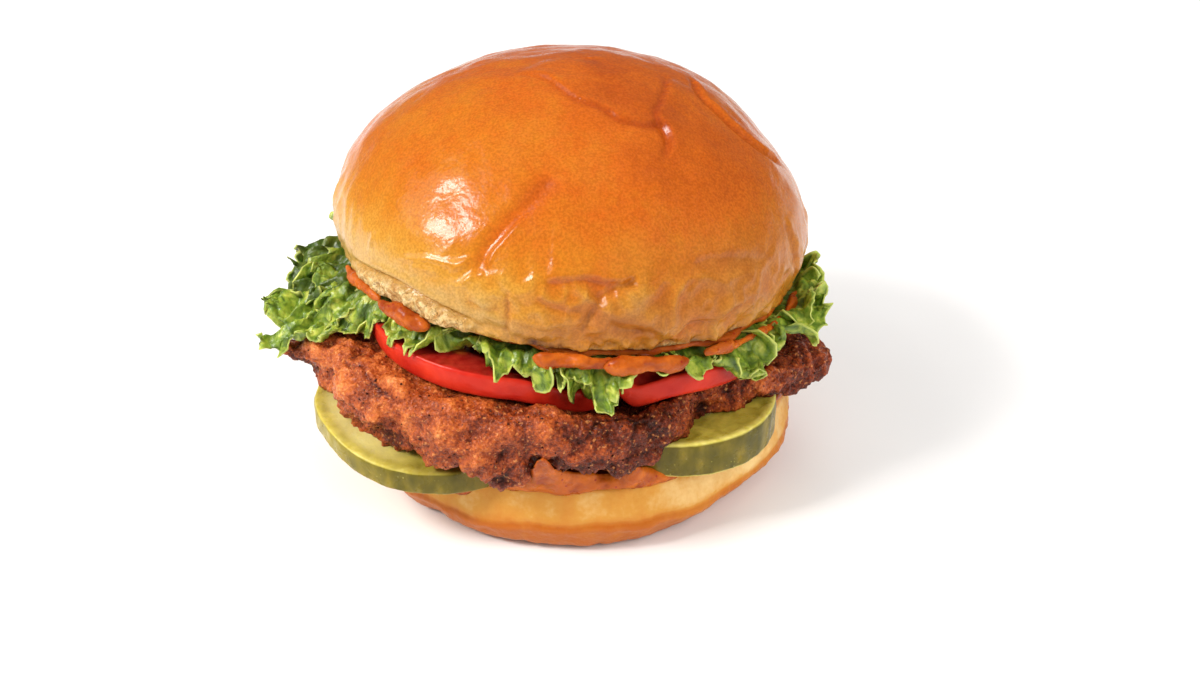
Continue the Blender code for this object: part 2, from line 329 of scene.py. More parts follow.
def add_piece(name, points, faces, material, slot, zones, *nodes):
    """Makes the mesh, stores its zones as attributes, and puts it in the place of these nodes."""
    mesh = bpy.data.meshes.new(name)
    mesh.vertices.add(len(points))
    mesh.vertices.foreach_set("co", (np.asarray(points) * MM).astype(np.float32).ravel())
    corners = np.concatenate([face_set.ravel() for face_set in faces])
    sizes = np.concatenate([np.full(len(face_set), face_set.shape[1]) for face_set in faces])
    mesh.loops.add(len(corners))
    mesh.loops.foreach_set("vertex_index", corners.astype(np.int32))
    mesh.polygons.add(len(sizes))
    mesh.polygons.foreach_set("loop_start", (np.cumsum(sizes) - sizes).astype(np.int32))
    for zone, values in zones.items():
        stored = mesh.attributes.new(zone, "FLOAT", "POINT")
        stored.data.foreach_set("value", np.asarray(values, np.float32))
    mesh.update(calc_edges=True)
    mesh.validate()
    mesh.shade_smooth()
    mesh.materials.append(material)
    piece = bpy.data.objects.new(name, mesh)
    bpy.context.scene.collection.objects.link(piece)
    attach(piece, "root")
    if nodes:
        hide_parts(*nodes)
    return piece


# ---------------------------------------------------------------- materials


def colour(red, green, blue):
    """A display colour from 0 to 255 as the linear colour that a shader takes."""
    shares = [channel / 255.0 for channel in (red, green, blue)]
    return tuple(s / 12.92 if s <= 0.04045 else ((s + 0.055) / 1.055) ** 2.4 for s in shares) + (1.0,)


class Finish:
    """One material, built up node by node. Sizes of patterns are in millimetres."""

    def __init__(
        self, name, specular=0.5, coat=0.0, coat_roughness=0.1, soak=0.0, soak_depth=(3.0, 1.0, 0.5),
    ):
        self.material = bpy.data.materials.new(name)
        self.material.use_nodes = True
        self.tree = self.material.node_tree
        self.shader = self.tree.nodes["Principled BSDF"]
        self.shader.inputs["Specular IOR Level"].default_value = specular
        self.shader.inputs["Coat Weight"].default_value = coat
        self.shader.inputs["Coat Roughness"].default_value = coat_roughness
        self.shader.inputs["Subsurface Weight"].default_value = soak
        self.shader.inputs["Subsurface Radius"].default_value = soak_depth
        self.shader.inputs["Subsurface Scale"].default_value = MM
        self.place = self.node("TexCoord").outputs["Object"]

    def node(self, kind, settings=(), sockets=()):
        made = self.tree.nodes.new("ShaderNode" + kind)
        for key, value in dict(settings).items():
            setattr(made, key, value)
        for key, value in dict(sockets).items():
            if isinstance(value, bpy.types.NodeSocket):
                self.tree.links.new(value, made.inputs[key])
            else:
                made.inputs[key].default_value = value
        return made

    def zone(self, name):
        return self.node("Attribute", {"attribute_name": name}).outputs["Fac"]

    def stretched(self, factors):
        mapped = self.node("Mapping", sockets={"Vector": self.place, "Scale": factors})
        return mapped.outputs["Vector"]

    def noise(self, size, detail=2.0, warp=0.0, factors=None):
        place = self.stretched(factors) if factors else self.place
        sockets = {"Vector": place, "Scale": 1.0 / (size * MM), "Detail": detail, "Distortion": warp}
        return self.node("TexNoise", sockets=sockets).outputs["Fac"]

    def spots(self, size, feature="F1", output="Distance", factors=None):
        place = self.stretched(factors) if factors else self.place
        sockets = {"Vector": place, "Scale": 1.0 / (size * MM)}
        return self.node("TexVoronoi", {"feature": feature}, sockets).outputs[output]

    def window(self, value, low, high, first=0.0, last=1.0):
        """Slides from first to last as the value goes from low to high."""
        sockets = {"Value": value, 1: low, 2: high, 3: first, 4: last}
        return self.node("MapRange", {"interpolation_type": "SMOOTHSTEP"}, sockets).outputs[0]

    def calc(self, operation, first, second, clamp=False):
        settings = {"operation": operation, "use_clamp": clamp}
        return self.node("Math", settings, {0: first, 1: second}).outputs[0]

    def ramp(self, value, stops):
        made = self.node("ValToRGB", sockets={"Fac": value})
        elements = made.color_ramp.elements
        while len(elements) < len(stops):
            elements.new(0.5)
        for element, (position, shade) in zip(elements, stops):
            element.position = position
            element.color = shade
        return made.outputs["Color"]

    def mix(self, share, first, second, blend="MIX"):
        settings = {"data_type": "RGBA", "blend_type": blend}
        return self.node("Mix", settings, {0: share, 6: first, 7: second}).outputs[2]

    def bump(self, height, depth, under=None):
        sockets = {"Height": height, "Distance": depth * MM}
        if under:
            sockets["Normal"] = under
        return self.node("Bump", sockets=sockets).outputs["Normal"]

    def done(self, base, roughness, normal):
        for key, value in (("Base Color", base), ("Roughness", roughness), ("Normal", normal)):
            if isinstance(value, bpy.types.NodeSocket):
                self.tree.links.new(value, self.shader.inputs[key])
            else:
                self.shader.inputs[key].default_value = value
        return self.material


def crust_finish():
    """Glazed brioche crust. Zones: bake from pale to brown, which also holds painted shade in fold valleys,
    crumple hollows and the lip's groove and painted light on crumple crests, dull for matt tan, crumb for
    torn pale bread.
    """
    made = Finish("glazed_crust", specular=0.25, soak=0.05, soak_depth=(2.0, 0.6, 0.15))
    cloud = made.calc("MULTIPLY_ADD", made.noise(11.0, 3.0, 0.5), 0.26)
    cloud.node.inputs[2].default_value = -0.13
    fleck = made.calc("MULTIPLY_ADD", made.noise(2.2, 3.0), 0.2)
    fleck.node.inputs[2].default_value = -0.1
    bake = made.calc("ADD", made.calc("ADD", made.zone("bake"), cloud), fleck, clamp=True)
    skin = made.ramp(
        bake,
        [
            (0.0, colour(192, 150, 80)),
            (0.22, colour(196, 138, 50)),
            (0.45, colour(190, 115, 28)),
            (0.7, colour(187, 91, 21)),
            (1.0, colour(152, 60, 16)),
        ],
    )
    tan = made.ramp(made.noise(4.0, 3.0), [(0.3, colour(162, 92, 32)), (0.7, colour(184, 115, 44))])
    skin = made.mix(made.zone("dull"), skin, tan)
    bread = made.ramp(
        made.noise(1.5, 4.0),
        [(0.36, colour(184, 134, 72)), (0.5, colour(212, 174, 112)), (0.64, colour(228, 200, 148))],
    )
    skin = made.mix(made.zone("crumb"), skin, bread)
    skin = made.mix(made.zone("burnt"), skin, colour(92, 42, 16))
    grain = made.ramp(made.noise(0.55, 2.0), [(0.36, colour(226, 221, 212)), (0.64, colour(255, 255, 255))])
    skin = made.mix(1.0, skin, grain, "MULTIPLY")
    rough_level = made.window(made.noise(5.0, 2.0), 0.3, 0.7, 0.17, 0.25)
    rough_level = made.calc("ADD", rough_level, made.window(made.zone("dull"), 0.0, 1.0, 0.0, 0.14))
    rough_level = made.calc(
        "ADD", rough_level, made.window(made.zone("crumb"), 0.0, 1.0, 0.0, 0.25), clamp=True,
    )
    normal = made.bump(made.noise(0.9, 1.5), 0.07)
    normal = made.bump(made.noise(3.2, 2.0), 0.14, normal)
    holes = made.window(made.noise(1.0, 3.0), 0.55, 0.38)
    normal = made.bump(made.calc("MULTIPLY", holes, made.zone("crumb")), 0.3, normal)
    return made.done(skin, rough_level, normal)


def sauce_finish():
    """Smooth orange-pink sauce with chilli specks."""
    made = Finish("spiced_sauce", specular=0.22, soak=0.1, soak_depth=(2.0, 0.7, 0.3))
    base = made.ramp(made.noise(3.5, 3.0, 0.4), [(0.3, colour(142, 54, 9)), (0.7, colour(196, 100, 24))])
    red = made.window(made.spots(1.5), 0.24, 0.14)
    base = made.mix(
        made.calc("MULTIPLY", red, made.window(made.noise(2.6), 0.45, 0.6)), base, colour(140, 30, 12),
    )
    base = made.mix(made.zone("deep"), base, colour(142, 56, 18))
    normal = made.bump(made.noise(1.8, 3.0), 0.35)
    return made.done(base, made.window(made.noise(2.0), 0.3, 0.7, 0.24, 0.42), normal)


def chicken_finish():
    """Seasoned, browned chicken. Zones: tone from dark hollow to bright crest, holding painted shade in the
    hollows, on the underside and round the right and painted light on the crests, char for blackened patches.
    """
    made = Finish("seasoned_chicken", specular=0.3)
    grain = made.calc("MULTIPLY_ADD", made.noise(0.65, 3.0), 0.8)
    grain.node.inputs[2].default_value = -0.4
    patch = made.calc("MULTIPLY_ADD", made.noise(3.4, 3.0), 0.5)
    patch.node.inputs[2].default_value = -0.25
    tone = made.calc("ADD", made.calc("ADD", made.zone("tone"), grain), patch, clamp=True)
    base = made.ramp(
        tone,
        [
            (0.0, colour(44, 14, 6)),
            (0.28, colour(104, 38, 16)),
            (0.52, colour(162, 72, 28)),
            (0.75, colour(198, 104, 44)),
            (1.0, colour(224, 148, 84)),
        ],
    )
    base = made.mix(made.window(made.spots(2.6), 0.11, 0.06), base, colour(36, 12, 8))
    base = made.mix(made.zone("char"), base, colour(62, 22, 14))
    # Painted glints: small light orange specks.
    base = made.mix(made.window(made.noise(0.9, 2.0), 0.6, 0.72, 0.0, 0.5), base, colour(238, 156, 88))
    normal = made.bump(made.noise(0.7, 3.0), 0.5)
    normal = made.bump(made.spots(1.1), 0.3, normal)
    return made.done(base, made.window(made.noise(0.8), 0.35, 0.65, 0.26, 0.6), normal)


def tomato_finish():
    """Zones: skin on the outside of a slice, flesh on its cut faces, darkened as painted shade, seed for the
    wet pockets.
    """
    made = Finish("tomato", specular=0.2, soak=0.2, soak_depth=(4.0, 0.6, 0.3))
    skin = made.ramp(made.noise(7.0, 2.0), [(0.3, colour(172, 24, 15)), (0.7, colour(212, 54, 30))])
    # Flesh: dark red, made darker still as painted shade from the leaves above.
    flesh = made.ramp(made.noise(2.0, 3.0), [(0.3, colour(138, 18, 14)), (0.7, colour(172, 42, 30))])
    base = made.mix(made.zone("skin"), flesh, skin)
    base = made.mix(made.zone("seed"), base, colour(196, 96, 34))
    normal = made.bump(made.noise(1.2, 3.0), 0.12)
    return made.done(base, made.window(made.zone("skin"), 0.0, 1.0, 0.24, 0.3), normal)


def pickle_finish():
    """Zones: skin on the rim, also spread as painted shade over the left slice's right part; pale just inside
    it, partly a painted highlight along the cut edge; seed for the creamy middle of a slice.
    """
    made = Finish("pickle", specular=0.24, soak=0.3, soak_depth=(2.0, 2.0, 0.5))
    flesh = made.ramp(made.noise(4.0, 3.0, 0.6), [(0.3, colour(150, 132, 40)), (0.7, colour(198, 178, 74))])
    pale = made.ramp(made.noise(1.5, 2.0), [(0.35, colour(206, 190, 84)), (0.65, colour(226, 212, 120))])
    rind = made.ramp(
        made.noise(3.4, 4.0, factors=(1, 1, 0.5)),
        [(0.28, colour(76, 70, 13)), (0.5, colour(102, 90, 19)), (0.72, colour(138, 118, 32))],
    )
    base = made.mix(made.zone("pale"), flesh, pale)
    base = made.mix(made.zone("seed"), base, colour(214, 200, 128))
    base = made.mix(made.zone("skin"), base, rind)
    dots = made.calc(
        "MULTIPLY", made.window(made.spots(1.1), 0.2, 0.1),
        made.window(made.noise(5.0), 0.5, 0.6, 0.0, 0.6),
    )
    base = made.mix(made.calc("MULTIPLY", dots, made.zone("skin")), base, colour(190, 180, 96))
    normal = made.bump(made.noise(1.8, 3.0), 0.2)
    return made.done(base, made.window(made.noise(3.0), 0.3, 0.7, 0.24, 0.4), normal)


def lettuce_finish():
    """Zones: rim is 1 at the free edge, vein on the ribs, deep for painted shade far inside the folds and on
    a dark leaf.
    """
    made = Finish("lettuce", specular=0.5, soak=0.2, soak_depth=(1.0, 1.6, 0.4))
    blade = made.ramp(
        made.noise(2.4, 4.0, 0.6),
        [
            (0.32, colour(66, 92, 22)), (0.47, colour(108, 132, 34)), (0.59, colour(148, 164, 54)),
            (0.72, colour(190, 194, 80)),
        ],
    )
    # Painted shade: darker green where the leaf goes in under the bun and over a whole dark leaf.
    base = made.mix(made.window(made.zone("deep"), 0.1, 1.0, 0.0, 0.85), blade, colour(50, 70, 16))
    base = made.mix(made.calc("MULTIPLY", made.zone("vein"), 0.25), base, colour(176, 190, 84))
    base = made.mix(made.calc("MULTIPLY", made.zone("rim"), 0.75), base, colour(204, 210, 108))
    normal = made.bump(made.noise(1.4, 3.0), 0.5)
    normal = made.bump(made.zone("vein"), 0.15, normal)
    return made.done(base, made.window(made.noise(2.5), 0.3, 0.7, 0.28, 0.45), normal)


def heel_finish():
    """Zones: bake from pale cut bread to brown base, damp where sauce has soaked in."""
    made = Finish("lower_bun", specular=0.22, soak=0.15, soak_depth=(2.0, 1.0, 0.5))
    fleck = made.calc("MULTIPLY_ADD", made.noise(1.1, 4.0), 0.26)
    fleck.node.inputs[2].default_value = -0.13
    cloud = made.calc("MULTIPLY_ADD", made.noise(8.0, 2.0), 0.24)
    cloud.node.inputs[2].default_value = -0.12
    bake = made.calc("ADD", made.calc("ADD", made.zone("bake"), fleck), cloud, clamp=True)
    base = made.ramp(
        bake,
        [
            (0.0, colour(228, 192, 128)),
            (0.3, colour(206, 146, 60)),
            (0.6, colour(196, 121, 38)),
            (1.0, colour(178, 95, 24)),
        ],
    )
    base = made.mix(made.zone("damp"), base, colour(196, 96, 44))
    normal = made.bump(made.noise(0.8, 3.0), 0.14)
    normal = made.bump(made.noise(3.0, 2.0, factors=(1, 1, 0.4)), 0.3, normal)
    return made.done(base, made.window(made.zone("bake"), 0.0, 1.0, 0.55, 0.38), normal)


CRUST = crust_finish()
SAUCE = sauce_finish()
CHICKEN = chicken_finish()
TOMATO = tomato_finish()
PICKLE = pickle_finish()
LETTUCE = lettuce_finish()
HEEL = heel_finish()


# ---------------------------------------------------------------- upper bun

# Lines of the crust's folds: (direction, height above the cut face), from one end to the other
TOP_LEDGE = (
    (200, 44), (228, 45), (250, 44.4), (265.5, 43.4), (283, 42.7), (289, 41.2), (300.5, 40.5),
    (308.4, 40.5), (309.4, 39.1), (305.7, 37.5), (300.5, 35.8),
)
TOP_VALLEY = ((2, 43.4), (326, 42.6), (307, 41.2), (309, 39.4), (306, 37.6), (299, 35.3))
RIGHT_RIDGE = ((16, 41.3), (351, 40.6), (349, 39), (346, 35.4), (347, 30.8), (358, 25.3))
FRONT_DIMPLE = (
    (264, 34), (260.7, 30.9), (256.6, 27.3), (254, 24.3), (252.2, 21.7), (250.6, 19.5), (250, 16),
    (249, 13),
)
# Each fold: its line, how high its left side stands, how deep its valley is, its width and its fade
CROWN_FOLDS = (
    (TOP_LEDGE, 0.9, 0.18, 0.9, 8.0), (TOP_VALLEY, 0.7, 0.3, 0.9, 6.0), (RIGHT_RIDGE, 0.9, 0.5, 0.9, 6.0),
    (FRONT_DIMPLE, 0.4, 0.75, 2.2, 9.0),
    (((257.5, 26.5), (253.3, 21.7), (251.6, 19.5), (251.2, 17.5), (250.8, 15.8)), 0.0, -0.4, 0.6, 4.0),
    (
        (
            (228, 13.3), (229.7, 13.3), (233.1, 14), (236.2, 15.2), (239.5, 15.2), (242.2, 15.5),
            (244.6, 16.5), (246.3, 17.5), (248.7, 17.1),
        ),
        0.0, -0.5, 0.6, 4.0,
    ),
    (((232, 12.4), (236.1, 13.2), (238.2, 13.5), (241, 13.4)), 0.0, -0.4, 0.9, 4.0),
    (((242, 14.2), (244.3, 15.4), (246, 16.5)), 0.0, -0.4, 0.6, 4.0),
    (((245.4, 11), (245.7, 12.1), (246.4, 13.4), (248.1, 14.6), (250.7, 15.7)), 0.0, -0.5, 0.7, 4.0),
    (((217, 15), (219, 13.8), (218.1, 12), (219, 10.5)), 0.0, -0.35, 0.6, 3.0),
    (
        ((263, 16), (266.5, 16), (272.6, 17.4), (277, 16.4), (281.5, 16.6), (285, 17.8)), 0.9, 0.5, 0.9,
        5.0,
    ),
    (
        (
            (285.5, 16.8), (283.3, 15.4), (278.9, 14.1), (277.6, 13.4), (276.4, 11.7), (274.3, 7),
            (273, 3.4),
        ),
        0.5, 0.9, 1.1, 4.5,
    ),
    (((278.2, 11.8), (279.4, 7.7), (283.7, 5.5), (286.7, 6.4), (291, 4.3)), 0.3, 0.6, 1.1, 4.0),
    (
        ((292.5, 0.4), (293.8, 2.8), (297, 5.7), (300.5, 6.1), (303.9, 5.9), (310.2, 8.6), (318, 9.9)),
        1.0, 0.6, 1.0, 5.0,
    ),
    (((323, 4), (323.8, 5.6), (325.6, 9.1), (333, 10.2)), 0.6, 0.5, 1.1, 4.0),
    (((297, 17.6), (300.7, 19.9), (309.5, 19.4), (322.3, 16.2), (324.8, 11)), 0.4, 0.4, 1.4, 5.0),
    (((334.4, 21), (335.4, 15.9), (336.6, 10.8), (338, 5)), 0.6, 0.5, 1.0, 4.0),
    (((256.5, 13.4), (257.3, 7.4), (256.9, 2.5)), 0.3, 0.6, 0.7, 3.0),
    (((256.5, 7.8), (257.8, 7.4), (260.9, 7), (263.1, 6.4), (267, 6.8)), 0.0, -0.55, 0.8, 3.0),
    (((262, 12.5), (268, 10.4), (273, 10.8)), 0.6, 0.4, 0.9, 3.5),
    (((247, 9), (251, 8), (255, 8.6)), 0.4, 0.4, 0.9, 3.5),
    (((40, 30), (62, 35), (80, 33), (96, 36)), 0.8, 0.5, 1.1, 8.0),
    (((120, 12), (131, 20), (133, 28), (150, 34)), 0.5, 0.8, 1.7, 8.0),
    (((100, 4), (104, 8), (112, 10), (120, 9)), 0.9, 0.5, 1.0, 5.0),
    (((60, 3), (57, 7), (50, 9.5), (42, 9)), 0.8, 0.5, 1.0, 5.0),
    (((160, 5), (165, 9), (173, 11.5)), 0.7, 0.4, 1.0, 4.0),
    (((12, 5), (16, 10), (24, 13)), 0.7, 0.5, 1.0, 4.0),
    (((84, 14), (92, 15.5), (101, 15), (108, 17)), 0.7, 0.4, 0.9, 5.0),
)


def crown_reach(height):
    """How far out the crust is at a height above the cut face."""
    share = np.clip((height - CROWN_WIDEST) / (CROWN_HEIGHT - CROWN_WIDEST), 0.0, 1.0)
    dome = CROWN_RADIUS * (1.0 - share**DOME_POWER) ** (1.0 / DOME_POWER)
    rim = CROWN_RIM_RADIUS + (CROWN_RADIUS - CROWN_RIM_RADIUS) * smooth(height / CROWN_WIDEST)
    return np.where(height > CROWN_WIDEST, dome, rim)


def crown_profile(step):
    """(reach, height) from the middle of the cut face, round the tucked rim and over the dome."""
    corner = 1.5
    turn = np.radians(np.linspace(-90.0, 0.0, 8))
    face = np.stack([np.linspace(4.0, CROWN_RIM_RADIUS - corner - 2.0, 7), np.zeros(7)], -1)
    tuck = np.stack([CROWN_RIM_RADIUS - corner + corner * np.cos(turn), corner + corner * np.sin(turn)], -1)
    rise = np.linspace(corner + 0.2, CROWN_WIDEST, 30)
    climb = CROWN_WIDEST + (CROWN_HEIGHT - CROWN_WIDEST) * np.sin(np.radians(np.linspace(0.5, 89.4, 200)))
    heights = np.concatenate([rise, climb])
    side = np.stack([crown_reach(heights), heights], -1)
    return np.concatenate([face, evenly(np.concatenate([tuck, side]), step)])


def trace(points, path):
    """How far points are from a path over the crust, signed by side, and the share of its length passed."""
    runs = np.diff(path, axis=0)
    lengths = np.linalg.norm(runs, axis=1)
    passed = np.concatenate([[0.0], np.cumsum(lengths)])
    nearest = np.full(len(points), np.inf)
    signed = np.full(len(points), np.inf)
    share = np.zeros(len(points))
    for start, run, length, before in zip(path, runs, lengths, passed):
        along = np.clip((points - start) @ run / length**2, 0.0, 1.0)
        offset = points - start - along[:, None] * run
        gap = np.linalg.norm(offset, axis=1)
        side = np.sign((np.cross(run, offset) * (points - (0.0, 0.0, 6.0))).sum(-1))
        closer = gap < nearest
        nearest[closer] = gap[closer]
        signed[closer] = (gap * side)[closer]
        share[closer] = (before + along * length)[closer] / passed[-1]
    return signed, share


def crown_folds(points):
    """How far the folds push the crust out at each point, and how deep in a fold's valley it is."""
    push = np.zeros(len(points))
    valleys = np.zeros(len(points))
    for line, rise, dip, width, fade in CROWN_FOLDS:
        line = np.array(line, float)
        turns = np.unwrap(line[:, 0], period=360.0)
        path = rounded(around(turns, crown_reach(line[:, 1]), line[:, 1]))
        near = ((points > path.min(0) - 3.0 * fade) & (points < path.max(0) + 3.0 * fade)).all(-1)
        signed, share = trace(points[near], path)
        ends = smooth(share / 0.15) * smooth((1.0 - share) / 0.15)
        step = smooth(0.5 + signed / (2.0 * width)) * np.exp(-np.maximum(signed, 0.0) / fade)
        valley = np.exp(-(((signed + 0.5 * width) / width) ** 2))
        push[near] += ends * (rise * step - dip * valley)
        valleys[near] = np.maximum(valleys[near], ends * valley * np.sign(dip))
    return push, np.maximum(valleys, 0.0)


def patch(angle, height, way, half, middle, half_height, amount):
    """A soft spot on the crust, in direction and height."""
    return amount * np.exp(-((turn_from(angle, way) / half) ** 2) - ((height - middle) / half_height) ** 2)


def crown_lip(angle):
    """How much the pale torn lip shows, and the height of the groove above it."""
    ring = around(angle, 50.0, 0.0)
    strength = smooth((angle - 208.0) / 6.0) * smooth((250.0 - angle) / 6.0)
    strength = (
        np.maximum(strength, lobes(angle, ((122, 16, 1.0), (48, 10, 0.9)))) + 0.1 * hills(ring, 14.0, 31)
    )
    groove = 3.3 + lobes(angle, ((229, 15, 3.6), (122, 14, 2.2), (48, 9, 1.6))) + 0.5 * hills(ring, 9.0, 32)
    return np.clip(strength, 0.0, 1.0), groove


def crown_directions(spokes):
    """Directions round the bun, closer together over its creased front than behind."""
    angle = np.linspace(0.0, 360.0, 3601)
    density = 0.75 + lobes(angle, ((268, 70, 0.75),))
    passed = np.concatenate([[0.0], np.cumsum(0.5 * (density[1:] + density[:-1]))])
    return np.interp(np.arange(spokes) / spokes * passed[-1], passed, angle)


def make_crown():
    angles = crown_directions(590)
    profile = crown_profile(0.56)
    rings = around(angles, profile[:, :1], profile[:, 1:])
    flat = rings.reshape(-1, 3)
    shape = rings.shape[:2]
    angle = azimuth(flat[:, 0], flat[:, 1])
    height = flat[:, 2]
    lip, groove = crown_lip(angle)
    roll = smooth((groove - 0.4 - height) / 1.2) * smooth((height - 0.2) / 1.2)
    folds, valleys = crown_folds(flat)
    push = 0.7 * hills(flat, 26.0, 9) * smooth(height / 12.0)
    push += patch(angle, height, 20, 34, 38, 7, 1.1)
    push += 0.25 * rough(flat, 9.0, 2, 12) * smooth(height / 10.0)
    push += folds
    push -= 1.7 * lip * np.exp(-(((height - groove) / 0.8) ** 2))
    push += 0.5 * lip * np.exp(-(((height - groove - 1.6) / 0.9) ** 2))
    push += lip * roll * (1.2 + 0.7 * rough(flat, 3.2, 3, 40) - 0.2 * pebbles(flat, 1.5, 4))
    low = smooth((21.0 - height) / 9.0) * smooth((height - 0.5) / 2.5)
    creased = (
        0.3 + lobes(angle, ((288, 36, 1.3), (150, 40, 0.8), (40, 35, 0.8)))
        - lobes(angle, ((228, 20, 0.3),))
    )
    crumple = ridged(flat * (1.0, 1.0, 0.8), 10.0, 2, 51) - 0.6
    push += 1.1 * low * creased * crumple
    push += (0.5 + 0.6 * creased) * smooth((4.0 - height) / 3.0) * smooth(height / 0.8) * rough(
        flat, 5.0, 4, 60, 0.6,
    )
    rings = rings + ring_normals(rings) * push.reshape(shape)[..., None]

    bake = (
        0.36 + 0.26 * smooth((height - 5.0) / 24.0) + 0.12 * smooth((height - 38.0) / 8.0)
        + 0.05 * rough(flat, 15.0, 2, 70)
    )
    for spot in (
        (226, 30, 7, 9, -0.36),
        (200, 26, 5, 9, -0.30),
        (250, 16, 4, 5, -0.12),
        (312, 42, 36, 14, 0.15),
        (340, 26, 26, 12, 0.02),
        (225, 40, 30, 14, -0.06),
        (120, 26, 5, 8, -0.32),
        (48, 16, 4, 7, -0.25),
        (80, 40, 34, 12, 0.08),
    ):
        bake = bake + patch(angle, height, *spot)
    # Painted shade and light: darker in fold valleys, in crumple hollows and along the lip's groove, paler on
    # crumple crests.
    bake = (
        bake + 0.16 * valleys - 0.3 * low * creased * crumple
        + 0.3 * lip * np.exp(-(((height - groove) / 0.8) ** 2))
    )
    dull = sum(
        patch(angle, height, *spot) for spot in (
            (316, 26, 13, 10, 0.9), (280, 16, 7, 6, 0.8), (345, 16, 22, 8, 0.3), (262, 7, 3, 4, 0.5),
            (95, 26, 12, 8, 0.6), (15, 18, 9, 7, 0.5),
        )
    )
    dull = dull * (1.0 + 0.5 * valleys)
    crumb = np.maximum(lip * smooth((groove - 0.5 - height) / 0.9), smooth((0.6 - height) / 0.4))
    edge_marks = lobes(
        angle,
        (
            (263, 1.8, 1), (268, 2.6, 1), (292, 2.2, 1), (301, 2.2, 1), (311, 4, 0.9), (322, 3, 0.6),
            (75, 5, 0.8), (140, 3, 0.7),
        ),
    )
    burnt = edge_marks * smooth((2.1 - height) / 1.3) * smooth(0.75 + hills(flat, 1.6, 77))
    points, faces = closed_skin(rings)
    tilt = np.array(Euler((math.radians(CROWN_TILT[0]), math.radians(CROWN_TILT[1]), 0.0)).to_matrix())
    points = points @ tilt.T + CROWN_CENTRE
    zones = {
        "bake": bake, "dull": np.clip(dull, 0, 1), "crumb": np.clip(crumb, 0, 1),
        "burnt": np.clip(burnt, 0, 1),
    }
    zones = {name: with_tips(values.reshape(shape)) for name, values in zones.items()}
    add_piece("upper_bun_crust", points, faces, CRUST, "baked_bun", zones, "bun_top")


# ---------------------------------------------------------------- lower bun


def heel_side(height):
    """How far out the lower bun's cut side is at a height."""
    share = np.clip((height - 8.7) / (HEEL_HEIGHT - 10.3), 0.0, 1.0)
    return HEEL_RADIUS - (HEEL_RADIUS - HEEL_RIM_RADIUS) * share


def heel_profile(step):
    """(reach, height) with the crease between base and cut side at height 0, base below and side above."""
    turn = np.radians(np.linspace(0.0, 90.0, 24))
    flat = np.stack([np.linspace(4.0, HEEL_BASE_RADIUS - 1.0, 7), np.full(7, -1.0)], -1)
    bulge = HEEL_RADIUS - HEEL_BASE_RADIUS
    base = np.stack([HEEL_BASE_RADIUS + bulge * np.sin(turn), -np.cos(turn)], -1)
    corner = 1.6
    side_heights = np.linspace(8.75, HEEL_HEIGHT - corner, 30)
    side = np.stack([heel_side(side_heights), side_heights], -1)
    bend = np.radians(np.linspace(5.0, 90.0, 8))
    top = np.stack(
        [HEEL_RIM_RADIUS - corner + corner * np.cos(bend), HEEL_HEIGHT - corner + corner * np.sin(bend)],
        -1,
    )
    lid = np.stack([np.linspace(HEEL_RIM_RADIUS - corner - 1.0, 4.0, 12), np.full(12, HEEL_HEIGHT)], -1)
    base = evenly(base * (1.0, 8.7), step) / (1.0, 8.7)
    return flat, base, np.concatenate([evenly(np.concatenate([side, top]), step), lid])


def crease_height(angle):
    """Where the browned base ends and the pale cut side begins."""
    return 8.9 - 1.2 * np.cos(np.radians(angle - 225.0)) + 0.9 * rough(around(angle, 50.0, 0.0), 11.0, 3, 80)


def make_heel():
    spokes = 440
    angles = np.arange(spokes) * 360.0 / spokes
    flat, base, side = heel_profile(0.6)
    crease = crease_height(angles)
    lower = np.concatenate([flat, base])
    narrow = (
        1.0
        - lobes(angles, ((325, 28, 0.05), (225, 22, 0.035))) * (
            1.0 - smooth((1.0 + lower[:, 1:] - 0.1) / 0.9)
        )
    )
    low_rings = around(angles, lower[:, :1] * narrow, (1.0 + lower[:, 1:]) * crease)
    rise = (side[:, 1:] - 8.7) / (HEEL_HEIGHT - 8.7)
    high_rings = around(angles, side[:, :1], crease + rise * (HEEL_HEIGHT - crease))
    rings = np.concatenate([low_rings, high_rings[1:]])
    shape = rings.shape[:2]
    points = rings.reshape(-1, 3)
    angle = azimuth(points[:, 0], points[:, 1])
    height = points[:, 2]
    above = height - np.broadcast_to(crease, shape).ravel()
    outer = smooth((np.hypot(points[:, 0], points[:, 1]) - 44.0) / 6.0)
    standing = smooth(height / 2.0)
    push = 0.5 * hills(points, 30.0, 5) + 0.34 * rough(points * (1.0, 1.0, 0.45), 6.0, 4, 82, 0.6)
    push = push - 0.5 * np.exp(-((above / 0.7) ** 2)) + 0.25 * np.exp(-(((above + 1.6) / 1.0) ** 2))
    push = push + 0.45 * smooth(-above / 2.0) * rough(points * (1.0, 1.0, 1.6), 12.0, 3, 84)
    push = push + 0.9 * np.exp(-((turn_from(angle, 249.5) / 3.2) ** 2) - (((height - 7.0) / 1.0) ** 2))
    rings = rings + ring_normals(rings) * (push * outer * standing).reshape(shape)[..., None]
    bake = (
        0.3 - lobes(angle, ((322, 24, 0.26), (60, 40, 0.16))) + 0.50 * smooth((0.5 - above) / 1.0)
        + 0.2 * smooth((-above - 3.0) / 4.0)
    )
    bake = bake + 0.16 * smooth((2.2 - above) / 2.0) + 0.1 * smooth((above - 6.0) / 3.0)
    bake = bake + 0.16 * rough(points * (1.0, 1.0, 0.6), 8.0, 3, 86)
    damp = smooth((height - HEEL_HEIGHT + 1.9) / 1.6) * smooth(0.6 + 0.8 * rough(points, 4.0, 2, 88))
    zones = {"bake": bake, "damp": np.clip(0.75 * damp, 0.0, 1.0)}
    zones = {name: with_tips(values.reshape(shape)) for name, values in zones.items()}
    points, faces = closed_skin(rings)
    add_piece("lower_bun_crust", points, faces, HEEL, "bun_side", zones, "bun_bottom")


# ---------------------------------------------------------------- slabs: slices, fillet and sauce films


